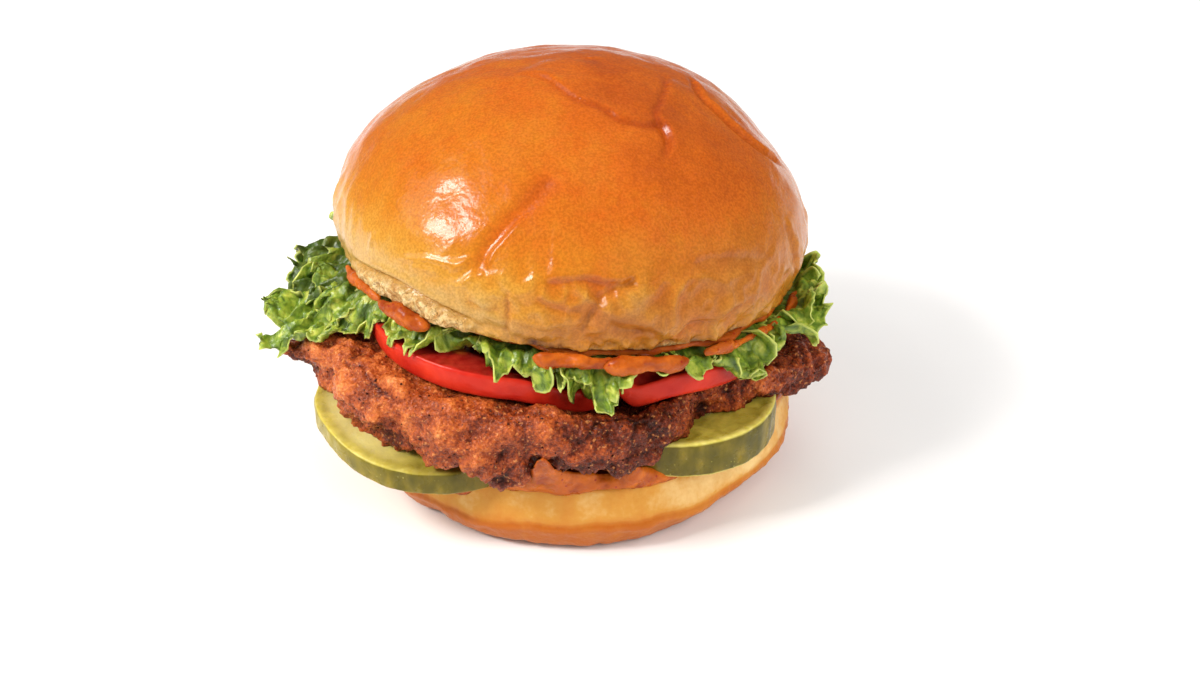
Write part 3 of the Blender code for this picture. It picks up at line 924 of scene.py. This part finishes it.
def slab(centre, outline, bottom_at, top_at, spokes, depth, step, edge, edge_rows, square=1.0):
    """Rings of a layer, coarse inside, fine within depth of its edge and round the edge itself.

    It also gives, for each ring, how far in from the edge it is and how high it is on the edge, -1 to 1.
    """
    angles = np.arange(spokes) * 360.0 / spokes
    reach = outline(angles) - edge
    fine = np.arange(depth, step, -step)
    coarse = np.linspace(0.12, 0.93, 7)
    turn = np.radians(np.linspace(-90.0, 90.0, edge_rows))
    out = edge * np.cos(turn) ** square
    lift = np.sign(turn) * np.abs(np.sin(turn)) ** square
    inner = [(share * (reach - depth), -1.0) for share in coarse] + [(reach - inset, -1.0) for inset in fine]
    rows = inner + [(reach + o, r) for o, r in zip(out, lift)] + [(r, 1.0) for r, _ in reversed(inner)]
    radii = np.array([row[0] for row in rows])
    lift = np.array([row[1] for row in rows])[:, None]
    flat = around(angles, radii, 0.0)
    x = centre[0] + flat[..., 0]
    y = centre[1] + flat[..., 1]
    low = bottom_at(x, y)
    high = top_at(x, y)
    rings = np.stack([x, y, (low + high) / 2.0 + lift * (high - low) / 2.0], -1)
    inset = np.maximum(reach + edge - radii, 0.0)
    return rings, inset, np.broadcast_to(lift, inset.shape)


def make_pickle(side):
    cx, cy, radius = PICKLES[side]
    seed, rise, droop, extra, lean = {
        "left": (100, 3.0, 2.4, -1.6, 305.0), "right": (120, 0.0, 1.2, 3.0, 305.0),
    }[side]
    way = np.array((math.cos(math.radians(lean)), math.sin(math.radians(lean))))

    def outline(angles):
        return radius + 0.45 * hills(around(angles, 20.0, 0.0), 16.0, seed)

    def leaning(x, y):
        """How far towards its low side a point of the slice is, 0 to 1."""
        return smooth((((x - cx) * way[0] + (y - cy) * way[1]) / radius + 0.2) / 1.2)

    def bottom(x, y):
        return pickle_bottom(x, y) + rise * (1.0 - leaning(x, y)) - droop * leaning(x, y)

    def top(x, y):
        inward = np.hypot(x - cx, y - cy) / radius
        dished = 0.35 * smooth((inward - 0.86) / 0.1) - 0.5 * smooth((inward - 0.55) / 0.5)
        return pickle_bottom(x, y) + PICKLE_THICKNESS + dished + rise + (extra - rise) * leaning(x, y)

    rings, inset, lift = slab((cx, cy), outline, bottom, top, 300, 9.0, 0.7, 0.8, 18, 0.5)
    points = rings.reshape(-1, 3)
    shape = rings.shape[:2]
    angle = np.radians(azimuth(points[:, 0] - cx, points[:, 1] - cy))
    push = (
        0.16 * rough(points, 5.0, 3, seed + 1)
        + 0.10 * np.sin(26.0 * angle + 3.0 * hills(points, 12.0, seed)) * (np.abs(lift.ravel()) < 0.9)
    )
    rings = rings + ring_normals(rings) * push.reshape(shape)[..., None]
    skin = (1.0 - smooth((np.abs(lift) - 0.86) / 0.1)) * smooth((1.2 - inset) / 0.4)
    turned = angle.reshape(shape)
    # pale: a paler band just inside the rind, strongest at the front, partly a painted highlight along the
    # cut edge.
    pale = (
        smooth((2.0 - inset) / 1.0) * (1.0 - skin) * {"left": 0.35, "right": 0.6}[side]
        * (1.0 + 0.7 * np.cos(turned - 4.7))
    )
    # On the left slice: less rind colour on its left side, and rind colour spread over the top at its right
    # as painted shade under the chicken.
    if side == "left":
        skin = np.maximum(
            skin * (1.0 - 0.5 * smooth(np.cos(turned - 3.1))), 0.8 * smooth(0.35 - np.cos(turned - 2.9)),
        )
    seed_ring = (
        smooth((inset - radius * 0.45) / 3.0)
        * smooth(0.5 + 1.5 * hills(points, 3.0, seed + 3).reshape(shape))
    )
    # On the left slice the pale seed colour is also spread over its left side.
    if side == "left":
        seed_ring = np.maximum(
            seed_ring,
            (1.0 - skin) * smooth((inset - 1.0) / 3.0) * smooth(1.2 * np.cos(turned - 3.2) + 0.1) * 0.8,
        )
    zones = {"skin": with_tips(skin), "pale": with_tips(pale), "seed": with_tips(seed_ring)}
    points, faces = closed_skin(rings)
    add_piece("pickle_slice_" + side, points, faces, PICKLE, "pickle", zones, "pickle_" + side)


def make_tomato(side):
    cx, cy, radius = TOMATOES[side]
    seed = {"left": 140, "right": 160}[side]

    def outline(angles):
        return radius + 0.35 * hills(around(angles, 20.0, 0.0), 18.0, seed)

    def bottom(x, y):
        return tomato_bottom(side, x, y)

    def top(x, y):
        return tomato_bottom(side, x, y) + TOMATO_THICKNESS - 0.5

    rings, inset, lift = slab((cx, cy), outline, bottom, top, 300, 8.0, 0.8, 1.5, 18, 0.5)
    points = rings.reshape(-1, 3)
    shape = rings.shape[:2]
    push = 0.12 * rough(points, 8.0, 2, seed + 1)
    push = push + 0.2 * hills(points, 3.0, seed + 2) * (np.abs(lift.ravel()) > 0.98)
    rings = rings + ring_normals(rings) * push.reshape(shape)[..., None]
    skin = 1.0 - smooth((np.abs(lift) - 0.93) / 0.07)
    turn = np.radians(azimuth(points[:, 0] - cx, points[:, 1] - cy)).reshape(shape)
    pocket = (
        smooth((np.cos(6.0 * turn + 0.8) + 0.2) / 0.5) * smooth((inset - 6.0) / 1.5)
        * smooth((radius * 0.75 - inset) / 2.0)
    )
    zones = {"skin": with_tips(skin), "seed": with_tips(pocket * (1.0 - skin))}
    points, faces = closed_skin(rings)
    add_piece("tomato_slice_" + side, points, faces, TOMATO, "tomato", zones, "tomato_" + side)


CHICKEN_LOBES = (
    (198, 8, 12.0),
    (221, 12, 7.5),
    (246, 12, 4.5),
    (312, 16, -7.5),
    (354, 13, 9.0),
    (62, 15, 2.5),
    (98, 12, -1.5),
    (138, 14, 2.0),
)


def make_chicken():
    def outline(angles):
        ring = around(angles, 56.0, 0.0)
        ragged = 1.3 * hills(ring, 12.0, 3) + 0.35 * rough(ring, 5.0, 2, 180)
        return CHICKEN_RADIUS + lobes(angles, CHICKEN_LOBES) + ragged

    rings, inset, lift = slab(
        CHICKEN_CENTRE, outline, chicken_bottom, chicken_top, 760, 16.0, 0.75, 5.5, 46, 0.85,
    )
    points = rings.reshape(-1, 3)
    shape = rings.shape[:2]
    shown = smooth((24.0 - inset.ravel()) / 6.0)
    crevice = np.exp(-((hills(points, 9.0, 190) / 0.09) ** 2)) * smooth(0.5 + hills(points, 18.0, 191))
    lumps = rough(points, 13.0, 2, 192)
    crust = rough(points, 5.4, 4, 194, 0.6)
    crumbs = 0.55 - pebbles(points, 2.2, 196)
    grit = 0.5 - pebbles(points, 1.3, 197)
    fine = hills(points, 1.0, 199)
    hanging = smooth(-lift.ravel() / 0.5)
    push = (
        1.3 * lumps + (1.0 + 0.7 * hanging) * crust + 0.26 * crumbs + 0.30 * grit + 0.2 * fine
        - 0.7 * crevice
    )
    rings = rings + ring_normals(rings) * (push * shown).reshape(shape)[..., None]
    # Painted light and shade: tone follows the relief, lighter on crests and darker in crevices.
    tone = 0.525 + 0.18 * crust + 0.08 * crumbs + 0.12 * grit + 0.08 * lumps - 0.28 * crevice
    angle = azimuth(points[:, 0], points[:, 1])
    # Painted shade: darker on the hanging underside and round the front and right-hand side.
    tone = (
        tone - 0.14 * smooth(-lift.ravel() / 0.8)
        + lobes(
            angle, (
                (226, 16, 0.04), (268, 12, -0.12), (292, 20, -0.3), (352, 24, -0.24), (196, 10, -0.1),
            ),
        )
    )
    char = smooth((hills(points, 7.0, 198) - 0.35) / 0.25) * smooth((0.2 - crumbs) / 0.5)
    points, faces = closed_skin(rings)
    zones = {"tone": with_tips(tone.reshape(shape)), "char": with_tips(0.4 * char.reshape(shape))}
    add_piece("chicken_fillet", points, faces, CHICKEN, "seasoned_chicken", zones, "chicken")
    return rings, inset


def make_pepper(rings, inset):
    """Cracked pepper stuck to the fillet wherever it shows."""
    draw = np.random.default_rng(SEED + 1)
    normals = ring_normals(rings)
    shown = np.argwhere(inset < 15.0)
    picked = shown[draw.choice(len(shown), 520, replace=False)]
    corners = np.array([(1, 0, 0), (-1, 0, 0), (0, 1, 0), (0, -1, 0), (0, 0, 1), (0, 0, -1)], float)
    sides = np.array([(0, 2, 4), (2, 1, 4), (1, 3, 4), (3, 0, 4), (2, 0, 5), (1, 2, 5), (3, 1, 5), (0, 3, 5)])
    points, faces = [], []
    for number, (row, column) in enumerate(picked):
        size = draw.uniform(0.16, 0.42)
        grain = corners * draw.uniform(0.6, 1.2, (6, 1)) * size
        points.append(grain + rings[row, column] + 0.12 * normals[row, column])
        faces.append(sides + 6 * number)
    zones = {"tone": np.zeros(len(picked) * 6), "char": np.ones(len(picked) * 6)}
    add_piece("pepper", np.concatenate(points), [np.concatenate(faces)], CHICKEN, "seasoned_chicken", zones)


# ---------------------------------------------------------------- sauces


def band_section(low, middle, high, thickness, count):
    """Closed cross-sections, one per direction, of a sauce band that bends over from low to high."""
    share = np.linspace(0.0, 1.0, count)[:, None, None]
    line = (1.0 - share) ** 2 * low + 2.0 * share * (1.0 - share) * middle + share**2 * high
    slope = 2.0 * (1.0 - share) * (middle - low) + 2.0 * share * (high - middle)
    slope /= np.linalg.norm(slope, axis=-1, keepdims=True)
    out = np.stack([slope[..., 1], -slope[..., 0]], -1)
    half = 0.5 * thickness[None, :, None] * np.sqrt(np.clip(np.sin(math.pi * share), 0.0, 1.0)) + 0.05
    return np.concatenate([line + out * half, (line - out * half)[::-1]])


def make_lower_sauce():
    """A film over the lower bun, and the band squeezed out along its rim with peaks between the pickles."""
    spokes = 620
    angles = np.arange(spokes) * 360.0 / spokes
    ring = around(angles, 52.0, 0.0)
    drips = lobes(
        angles,
        (
            (241, 8, -4.2), (304, 14, -1.6), (330, 16, -2.2), (20, 9, -3.0), (75, 6, -4.5),
            (118, 8, -2.5), (165, 10, -4.0), (205, 10, -2.0),
        ),
    )
    low_z = HEEL_HEIGHT - 0.9 + drips + 1.2 * rough(ring, 8.0, 4, 200)
    peaks = lobes(
        angles,
        ((264.5, 3.4, 9.6), (271, 7, 2.6), (285, 3.0, 4.0), (252, 6, 1.0), (60, 5, 2.5), (150, 6, 2.0)),
    )
    hidden = lobes(angles, ((326, 26, 1.0),))
    low_z = low_z + 3.2 * hidden
    high_z = HEEL_HEIGHT + 2.9 - 1.6 * hidden + peaks + 0.5 * rough(ring, 7.0, 2, 203)
    low = np.stack([heel_side(low_z) + 0.25 - 3.0 * hidden, low_z], -1)
    middle = np.stack(
        [54.6 - 3.0 * hidden + 0.5 * hills(ring, 6.0, 205), np.full(spokes, HEEL_HEIGHT + 0.9)], -1,
    )
    high = np.stack([52.0 + 1.15 * np.minimum(peaks, 8.0), high_z], -1)
    thickness = 1.4 + 0.5 * rough(ring, 6.0, 2, 206)
    section = band_section(low, middle, high, thickness, 22)
    rings = np.swapaxes(around(angles, section[..., 0], section[..., 1]), 0, 1)
    normal = np.cross(
        np.roll(rings, -1, 1) - np.roll(rings, 1, 1), np.roll(rings, -1, 0) - np.roll(rings, 1, 0),
    )
    normal /= np.maximum(np.linalg.norm(normal, axis=-1, keepdims=True), 1e-9)
    flat = rings.reshape(-1, 3)
    lump = 0.4 * rough(flat, 4.0, 3, 208).reshape(rings.shape[:2])
    rings = rings + normal * lump[..., None]
    points, faces = closed_tube(rings)
    thin = smooth(0.5 + hills(points, 6.0, 209))
    band = (points, faces, {"deep": 0.5 * thin * smooth((HEEL_HEIGHT - points[:, 2]) / 1.5)})

    def edge(angles):
        return 51.5 + 0.6 * hills(around(angles, 50.0, 0.0), 10.0, 210)

    film_rings, _, _ = slab(
        (0.0, 0.0), edge, lambda x, y: heel_top(x, y) + 0.2, lambda x, y: heel_top(x, y) + 1.5, 240, 6.0,
        0.8, 0.5, 5,
    )
    points, faces = closed_skin(film_rings)
    points[:, 2] += 0.25 * rough(points, 5.0, 2, 211)
    film = (points, faces, {"deep": np.full(len(points), 0.35)})
    points, faces, zones = joined([band, film])
    add_piece("lower_sauce", points, faces, SAUCE, "spiced_sauce", zones, "sauce_bottom")


def bead(first, last, radius, drop, wide, tall, seed):
    """A run of sauce along the bun's edge, between two directions. Its place is given from the cut, its size in halves."""
    count = max(int(abs(last - first) * 2.4), 16)
    share = np.linspace(0.0, 1.0, count)
    angles = first + (last - first) * share
    spine = around(angles, radius, 0.0)
    spine = (
        spine
        + 0.5 * np.stack([hills(spine, 6.0, seed), hills(spine, 6.0, seed + 1), np.zeros(count)], -1)
    )
    spine[:, 2] = bun_cut(spine[:, 0], spine[:, 1]) - drop + 0.6 * hills(spine, 9.0, seed + 2)
    ends = np.sqrt(np.clip(1.0 - np.abs(2.0 * share - 1.0) ** 4, 0.0005, 1.0))
    size = (1.0 + 0.6 * hills(spine, 8.0, seed + 3)) * ends
    outward = np.stack([np.cos(np.radians(angles)), np.sin(np.radians(angles)), np.zeros(count)], -1)
    turn = np.linspace(0.0, math.tau, 26, endpoint=False)
    across = wide * np.cos(turn)[None, :, None] * outward[:, None]
    rings = (
        spine[:, None]
        + size[:, None, None] * (across - tall * np.sin(turn)[None, :, None] * np.array((0.0, 0.0, 1.0)))
    )
    bumps = (
        0.5
        * rough(rings.reshape(-1, 3) * (1.0, 1.0, 2.0), 6.0, 4, seed + 4, 0.6).reshape(rings.shape[:2])
        * ends[:, None]
    )
    rings = rings + ring_normals(rings) * bumps[..., None]
    points, faces = closed_skin(rings)
    return points, faces, {"deep": np.zeros(len(points))}


def make_upper_sauce():
    """A film under the upper bun, with runs of sauce squeezed out at its edge."""
    bumps = (
        (206, 12, 3.0), (228, 8, 2.0), (271, 7, 2.6), (289, 8, 2.6), (311, 9, 3.4), (334, 10, 2.6),
        (70, 10, 2.8), (137, 10, 2.6), (90, 5, 2.6),
    )

    def edge(angles):
        return 50.2 + lobes(angles, bumps) + 0.7 * rough(around(angles, 50.0, 0.0), 6.0, 3, 220)

    film_rings, _, _ = slab(
        (0.0, 0.0), edge, lambda x, y: bun_cut(x, y) - 2.0, lambda x, y: bun_cut(x, y) - 0.2, 420, 6.0,
        0.8, 0.8, 9,
    )
    points, faces = closed_skin(film_rings)
    points[:, 2] += 0.2 * rough(points, 4.0, 2, 221) * smooth(
        (np.hypot(points[:, 0], points[:, 1]) - 49.0) / 3.0
    )
    parts = [(points, faces, {"deep": 0.5 * smooth(0.5 + hills(points, 8.0, 222))})]
    runs = (
        (201, 220, 54.6, 0.7, 1.2, 1.3),
        (220.5, 237, 55.3, 0.4, 1.5, 1.7),
        (262, 281.5, 54.3, 2.0, 1.0, 1.5),
        (277.5, 298, 55.3, 2.5, 1.7, 2.1),
        (303, 312, 54.2, 2.4, 0.9, 1.6),
        (310, 333, 54.2, 1.9, 0.9, 1.2),
        (334, 349, 54.4, 2.0, 1.1, 1.4),
        (38, 62, 54.3, 1.6, 1.1, 1.3),
        (84, 97, 54.9, 1.5, 1.5, 1.6),
        (124, 150, 54.2, 1.4, 1.0, 1.3),
    )
    for number, run in enumerate(runs):
        parts.append(bead(*run, 230 + 10 * number))
    points, faces, zones = joined(parts)
    add_piece("upper_sauce", points, faces, SAUCE, "spiced_sauce", zones, "sauce_top")


# ---------------------------------------------------------------- lettuce


def lies_on(x, y):
    """The top of what lies below the leaf: tomato where there is one, else the fillet."""
    chicken = chicken_top(x, y) + 1.2
    on_left = near_disc(x, y, (TOMATOES["left"][0], TOMATOES["left"][1], TOMATOES["left"][2] - 1.0), 1.2)
    on_right = near_disc(x, y, (TOMATOES["right"][0], TOMATOES["right"][1], TOMATOES["right"][2] - 1.0), 1.2)
    left = tomato_bottom("left", x, y) + TOMATO_THICKNESS
    right = tomato_bottom("right", x, y) + TOMATO_THICKNESS
    tomato = np.where(on_right > 0.0, right, left)
    return chicken + (tomato - chicken) * np.maximum(on_left, on_right)


def leaf(edge, swing, seed, wave=12.0, inner=47.0, below=2.6, curl=4.0, dark=0.0):
    """A curly blade of lettuce and its colour zones.

    Its free edge passes through the points edge, each (direction, distance, height). It comes out from
    under the bun at the distance inner, this far below the cut. It ripples more towards its free edge, by
    about swing, in folds of the length wave with smaller ones on them, and the last part of it, curl wide,
    turns up or down. A dark leaf gets painted shade all over, a deeper green.
    """
    step = 0.55
    table = np.array(edge, float)
    outer = around(table[:, 0], table[:, 1], table[:, 2])
    root = around(table[:, 0], inner, 0.0)
    root[:, 2] = bun_cut(root[:, 0], root[:, 1]) - below
    path = evenly(rounded(np.concatenate([outer, root], -1), 1), step)
    ring = path[:, :3]
    crease = 3.2 * hills(ring, 8.0, seed + 30)
    run = np.concatenate([[0.0], np.cumsum(np.linalg.norm(np.diff(ring, axis=0), axis=1))])
    span_out = ring - path[:, 3:]
    length = np.linalg.norm(span_out, axis=-1)[:, None]
    out = np.linspace(0.0, 1.0, max(int(length.max() / step), 8))[None, :]
    middle = path[:, None, 3:] + span_out[:, None] * out[..., None]
    middle[..., 2] = path[:, 5:] + (ring[:, 2:] - path[:, 5:]) * out**1.7
    level = np.array((1.0, 1.0, 0.0))
    along = np.gradient(ring, axis=0) * level
    along /= np.linalg.norm(along, axis=-1, keepdims=True)
    outward = span_out * level
    outward /= np.linalg.norm(outward, axis=-1, keepdims=True)
    teeth = 0.9 - 3.0 * np.abs(hills(ring, 2.4, seed)) + 0.8 * hills(ring, 1.2, seed + 1)
    cells = np.stack([run[:, None] + 0.0 * out, out * length, 0.0 * out * length], -1).reshape(-1, 3)
    push = teeth[:, None] * out**5
    lift = np.zeros_like(push)
    slide = np.zeros_like(push)
    for part, strength, grow, number in ((1.0, 1.0, 1.5, 2), (0.5, 0.5, 2.6, 5), (0.25, 0.26, 5.0, 8)):
        bend = 7.0 * hills(cells, 1.1 * wave * part, seed + number).reshape(push.shape)
        phase = math.tau * run[:, None] / (wave * part) + bend
        size = (
            strength * swing
            * (0.8 + 1.3 * hills(cells, 1.6 * wave * part, seed + number + 1).reshape(push.shape))
            * out**grow
        )
        lift += size * np.cos(phase)
        slide -= 0.8 * size * np.sin(phase)
        push += 0.45 * size * np.cos(phase + 1.2)
    blisters = (
        1.6 * hills(cells, 5.5, seed + 14) + 0.8 * hills(cells, 2.6, seed + 15)
        + 0.3 * hills(cells, 1.4, seed + 16)
    )
    lift += blisters.reshape(push.shape) * smooth(out / 0.4)
    turned_up = np.maximum(out - 1.0 + curl / length, 0.0) * length
    lift += turned_up * np.sin(crease)[:, None]
    push += turned_up * (np.cos(crease)[:, None] - 1.0)
    middle = middle + slide[..., None] * along[:, None] + push[..., None] * outward[:, None]
    flat = middle.reshape(-1, 3)
    x = middle[..., 0]
    y = middle[..., 1]
    z = middle[..., 2] + lift + (1.8 * hills(flat, 9.0, seed + 11)).reshape(x.shape) * out
    from_middle = np.hypot(x - CHICKEN_CENTRE[0], y - CHICKEN_CENTRE[1])
    z = z + np.maximum(lies_on(x, y) + 0.5 - z, 0.0) * smooth((59.5 - from_middle) / 2.0)
    z = z - np.maximum(z - bun_cut(x, y) + 1.6, 0.0) * smooth((55.0 - np.hypot(x, y)) / 1.5)
    middle = np.stack([x, y, z], -1)
    points, faces = closed_sheet(middle, np.broadcast_to(0.6 - 0.25 * out, x.shape))
    ends = np.minimum(run, run[-1] - run)[:, None]
    rim = 1.0 - smooth((np.minimum((1.0 - out) * length, ends) - 0.1) / 0.4)
    vein = (
        (1.0 - smooth(np.abs(hills(cells * (1.0, 0.5, 1.0), 4.0, seed + 12)) / 0.1)).reshape(x.shape)
        * (1.0 - 0.5 * out)
    )
    # deep is painted shade: darker towards the root, under the bun, and over a whole dark leaf.
    zones = {
        "rim": rim, "vein": vein,
        "deep": np.maximum(smooth((0.75 - out) / 0.55), dark) * np.ones_like(vein),
    }
    return points, faces, {name: np.tile(values.ravel(), 2) for name, values in zones.items()}


def skirt(first, last, reach, droop, swing, seed):
    """A plain run of curly leaf between two directions. Its edge is reach out and droop below the cut."""
    angles = np.arange(first, last + 1.0, 4.0)
    ring = around(angles, 55.0, 0.0)
    ends = smooth((angles - first) / 10.0) * smooth((last - angles) / 10.0)
    distance = reach + 4.0 * hills(ring, 12.0, seed + 20) - 7.0 * (1.0 - ends)
    height = bun_cut(ring[:, 0], ring[:, 1]) - droop + 4.0 * hills(ring, 9.0, seed + 21)
    return leaf(np.stack([angles, distance, height], -1), swing, seed, wave=13.0)


def make_lettuce():
    wing = (
        (187, 58, 43), (190, 64, 44), (193, 70, 45.5), (195.5, 75, 47), (197.5, 76, 46.5),
        (199, 74.5, 45), (200, 71.5, 44), (201.3, 73.5, 43), (202.6, 77.5, 42), (204, 76, 41),
        (205.5, 71, 42), (207.5, 66, 43), (210, 60, 44.5), (213, 55, 46),
    )
    upper_left = (
        (174, 53, 44), (175.5, 58, 46.5), (177.5, 61.5, 49.5), (179.5, 64.5, 50.8), (182, 65.5, 50.8),
        (183.5, 64, 51), (185, 67.5, 50.2), (187, 66, 50), (189, 69, 48.5), (191, 67, 48),
        (194, 69, 46.5), (197, 67, 46), (200, 62, 46), (203, 57, 47),
    )
    curled = (
        (186, 56, 51), (189, 62, 50), (191, 65, 49.5), (192.5, 62.5, 50.5), (196, 64, 48.5),
        (199, 63.5, 48), (201, 65, 46), (204, 65, 44.3), (207, 62, 45), (210, 57, 46.5),
    )
    broad = (
        (193, 53, 52), (196, 57.5, 50.5), (198, 60.5, 49), (199.5, 60, 48), (202, 62, 46.5),
        (205.5, 62.5, 45), (208, 60.5, 45.5), (211, 58.5, 44.3), (212, 55.5, 47), (213, 56.5, 45.8),
        (215, 56, 46), (217, 53.5, 48.5), (220, 51, 50.5),
    )
    front_left = (
        (217, 50, 51.5), (220, 53, 50), (224, 56, 47.5), (226.5, 57, 46.2), (228.5, 55.5, 48.5),
        (231, 57, 45), (234, 56, 47.2), (236.5, 55.5, 48), (239, 54, 51), (242, 52, 52),
    )
    band = (
        (234, 51.5, 52.5), (237, 54, 52), (241, 55, 52), (245, 55.5, 52), (248, 55.5, 51.5),
        (251, 56, 50), (254, 53.5, 51.5), (256, 51, 51),
    )
    star = (
        (247, 51.5, 52), (250, 54, 51), (253, 55.5, 50), (255.5, 56.3, 49.2), (257.5, 54.5, 50.5),
        (260, 54.5, 49), (263.5, 56, 46.3), (266, 55, 48.5), (269, 55, 49.5), (272, 52, 50),
    )
    middle = (
        (265, 51, 50), (268, 55, 49), (271, 56, 46.5), (274, 56.5, 43.5), (276, 55.5, 44.5),
        (279, 56.5, 45.5), (283, 57, 45), (287, 57.2, 44.6), (290, 57, 45), (293, 56.5, 46),
        (297, 53, 47.5),
    )
    gathered = (
        (265, 51, 50), (267.5, 55, 49), (270, 56.5, 46.3), (272.5, 57, 45), (275, 56, 46), (277, 52, 49),
    )
    hanging = (
        (272.5, 52, 48), (274.5, 55.5, 42.5), (276.5, 57, 40.2), (278.5, 57.6, 39.4), (280.5, 57.4, 40),
        (281.5, 56, 43.5), (283, 52.5, 48),
    )
    scraps = (
        (293, 51, 47.5), (296, 54.5, 46), (299, 56, 45), (
            302, 56.5, 43.6,
        ), (305, 55.6, 44), (308, 52, 46),
    )
    right_tip = (
        (302, 51, 47), (305, 54, 45), (308, 55.5, 43.5), (310.5, 57.5, 40.5), (312.5, 58, 38),
        (314.5, 57, 40), (317, 58.3, 38.8), (319.5, 57.5, 41.5), (322, 57.5, 42.5), (326, 55, 44.5),
        (329, 51, 46),
    )
    right_lobe = (
        (315, 51, 46.5), (318, 56, 44.5), (321, 59, 42.5), (324, 61.5, 41.5), (326.5, 61.5, 41.5),
        (329, 60, 43.5), (332, 62.5, 44), (336, 62.5, 44.5), (340, 64, 45), (344, 64, 46), (348, 62, 47),
        (352, 57, 47),
    )
    right_high = (
        (328, 53, 46.5), (333, 60, 46.5), (338, 62, 46.5), (342, 62.5, 47), (346, 63, 46),
        (350, 61, 47.5), (353, 60, 48.8), (357, 60, 48), (361, 57, 46), (366, 52, 45),
    )
    front = [
        leaf(wing, 1.5, 300, wave=10.0, inner=50.0, below=9.0, curl=2.5),
        leaf(upper_left, 1.5, 320, wave=10.0, curl=3.0, dark=0.9),
        leaf(curled, 2.0, 700, wave=9.0, below=3.4),
        leaf(broad, 1.5, 340, wave=9.0, curl=3.0),
        leaf(front_left, 1.4, 360, wave=9.0),
        leaf(band, 1.1, 380, wave=10.0, below=2.2),
        leaf(star, 1.3, 400, wave=8.0),
        leaf(middle, 1.3, 420, wave=7.5),
        leaf(gathered, 0.9, 740, wave=6.0),
        leaf(hanging, 0.9, 440, wave=9.0, below=3.4),
        leaf(scraps, 1.0, 460, wave=6.0),
        leaf(right_tip, 1.5, 480, wave=9.0),
        leaf(right_lobe, 2.1, 500, wave=11.0),
        leaf(right_high, 2.0, 520, wave=11.0, below=2.2),
    ]
    back = [
        skirt(4, 62, 59, 4.0, 2.2, 540),
        skirt(0, 58, 57, 2.0, 2.0, 560),
        skirt(52, 116, 60, 4.0, 2.4, 580),
        skirt(60, 112, 58, 2.0, 2.0, 600),
        skirt(104, 166, 59, 4.0, 2.0, 620),
        skirt(110, 160, 57, 1.5, 1.8, 640),
        skirt(148, 184, 58, 4.0, 1.2, 660),
    ]
    for name, sheets in (("lettuce_front", front), ("lettuce_back", back)):
        points, faces, zones = joined(sheets)
        add_piece(name, points, faces, LETTUCE, "lettuce", zones, "lettuce")


# ---------------------------------------------------------------- setting


def make_floor():
    size = 4.0
    mesh = bpy.data.meshes.new("floor")
    mesh.from_pydata(
        [(-size, -size, 0), (size, -size, 0), (size, size, 0), (-size, size, 0)], [], [(0, 1, 2, 3)],
    )
    finish = Finish("pale_floor", specular=0.1)
    tone = finish.ramp(
        finish.noise(40.0, 2.0), [(0.3, (0.86, 0.85, 0.84, 1.0)), (0.7, (0.88, 0.87, 0.86, 1.0))],
    )
    mesh.materials.append(finish.done(tone, 0.9, finish.bump(finish.noise(5.0), 0.02)))
    floor = bpy.data.objects.new("floor", mesh)
    bpy.context.scene.collection.objects.link(floor)


def add_light(name, direction, elevation, distance, width, height, power, shade):
    """A softbox that faces the middle of the burger."""
    light = bpy.data.lights.new(name, "AREA")
    light.shape = "RECTANGLE"
    light.size = width
    light.size_y = height
    light.energy = power
    light.color = shade
    thing = bpy.data.objects.new(name, light)
    rise = math.radians(elevation)
    turn = math.radians(direction)
    middle = (CAD_BOX[0] + CAD_BOX[1]) / 2.0
    way = Vector((math.cos(turn) * math.cos(rise), math.sin(turn) * math.cos(rise), math.sin(rise)))
    thing.location = middle + way * distance
    thing.rotation_euler = way.to_track_quat("Z", "Y").to_euler()
    bpy.context.scene.collection.objects.link(thing)
    return thing


def make_lights():
    add_light("key", 190.0, 42.0, 1.0, 0.86, 0.68, 3.2, (1.0, 0.985, 0.96))
    add_light("core", 204.0, 42.0, 1.0, 0.34, 0.25, 9.6, (1.0, 0.985, 0.96))
    add_light("fill", 326.0, 36.0, 1.4, 1.4, 1.0, 15.0, (1.0, 0.99, 0.98)).visible_glossy = False
    add_light("top", 60.0, 72.0, 1.3, 1.2, 1.2, 5.0, (1.0, 1.0, 1.0)).visible_glossy = False
    world = bpy.data.worlds.new("studio")
    world.use_nodes = True
    tree = world.node_tree
    sky = tree.nodes["Background"]
    sky.inputs["Color"].default_value = (1.0, 1.0, 1.0, 1.0)
    ray = tree.nodes.new("ShaderNodeLightPath")
    level = tree.nodes.new("ShaderNodeMapRange")
    level.inputs["To Min"].default_value = 0.39
    level.inputs["To Max"].default_value = 0.14
    tree.links.new(ray.outputs["Is Glossy Ray"], level.inputs["Value"])
    tree.links.new(level.outputs["Result"], sky.inputs["Strength"])
    bpy.context.scene.world = world
    bpy.context.scene.view_settings.view_transform = "Standard"


def make_camera():
    """The camera looks along +Y and down, from just right of the middle of the burger."""
    camera = bpy.data.objects.new("camera", bpy.data.cameras.new("camera"))
    camera.data.lens = 49.47
    camera.data.clip_start = 0.02
    camera.data.clip_end = 20.0
    pitch = math.radians(31.04)
    distance = 0.40947
    target = Vector((0.00672, 0.0, 0.02539))
    camera.location = target + distance * Vector((0.0, -math.cos(pitch), math.sin(pitch)))
    camera.rotation_euler = (math.pi / 2.0 - pitch, 0.0, 0.0)
    bpy.context.scene.collection.objects.link(camera)
    bpy.context.scene.camera = camera


make_crown()
make_heel()
make_lower_sauce()
make_upper_sauce()
for side in ("left", "right"):
    make_pickle(side)
    make_tomato(side)
make_pepper(*make_chicken())
make_lettuce()
make_floor()
make_lights()
make_camera()
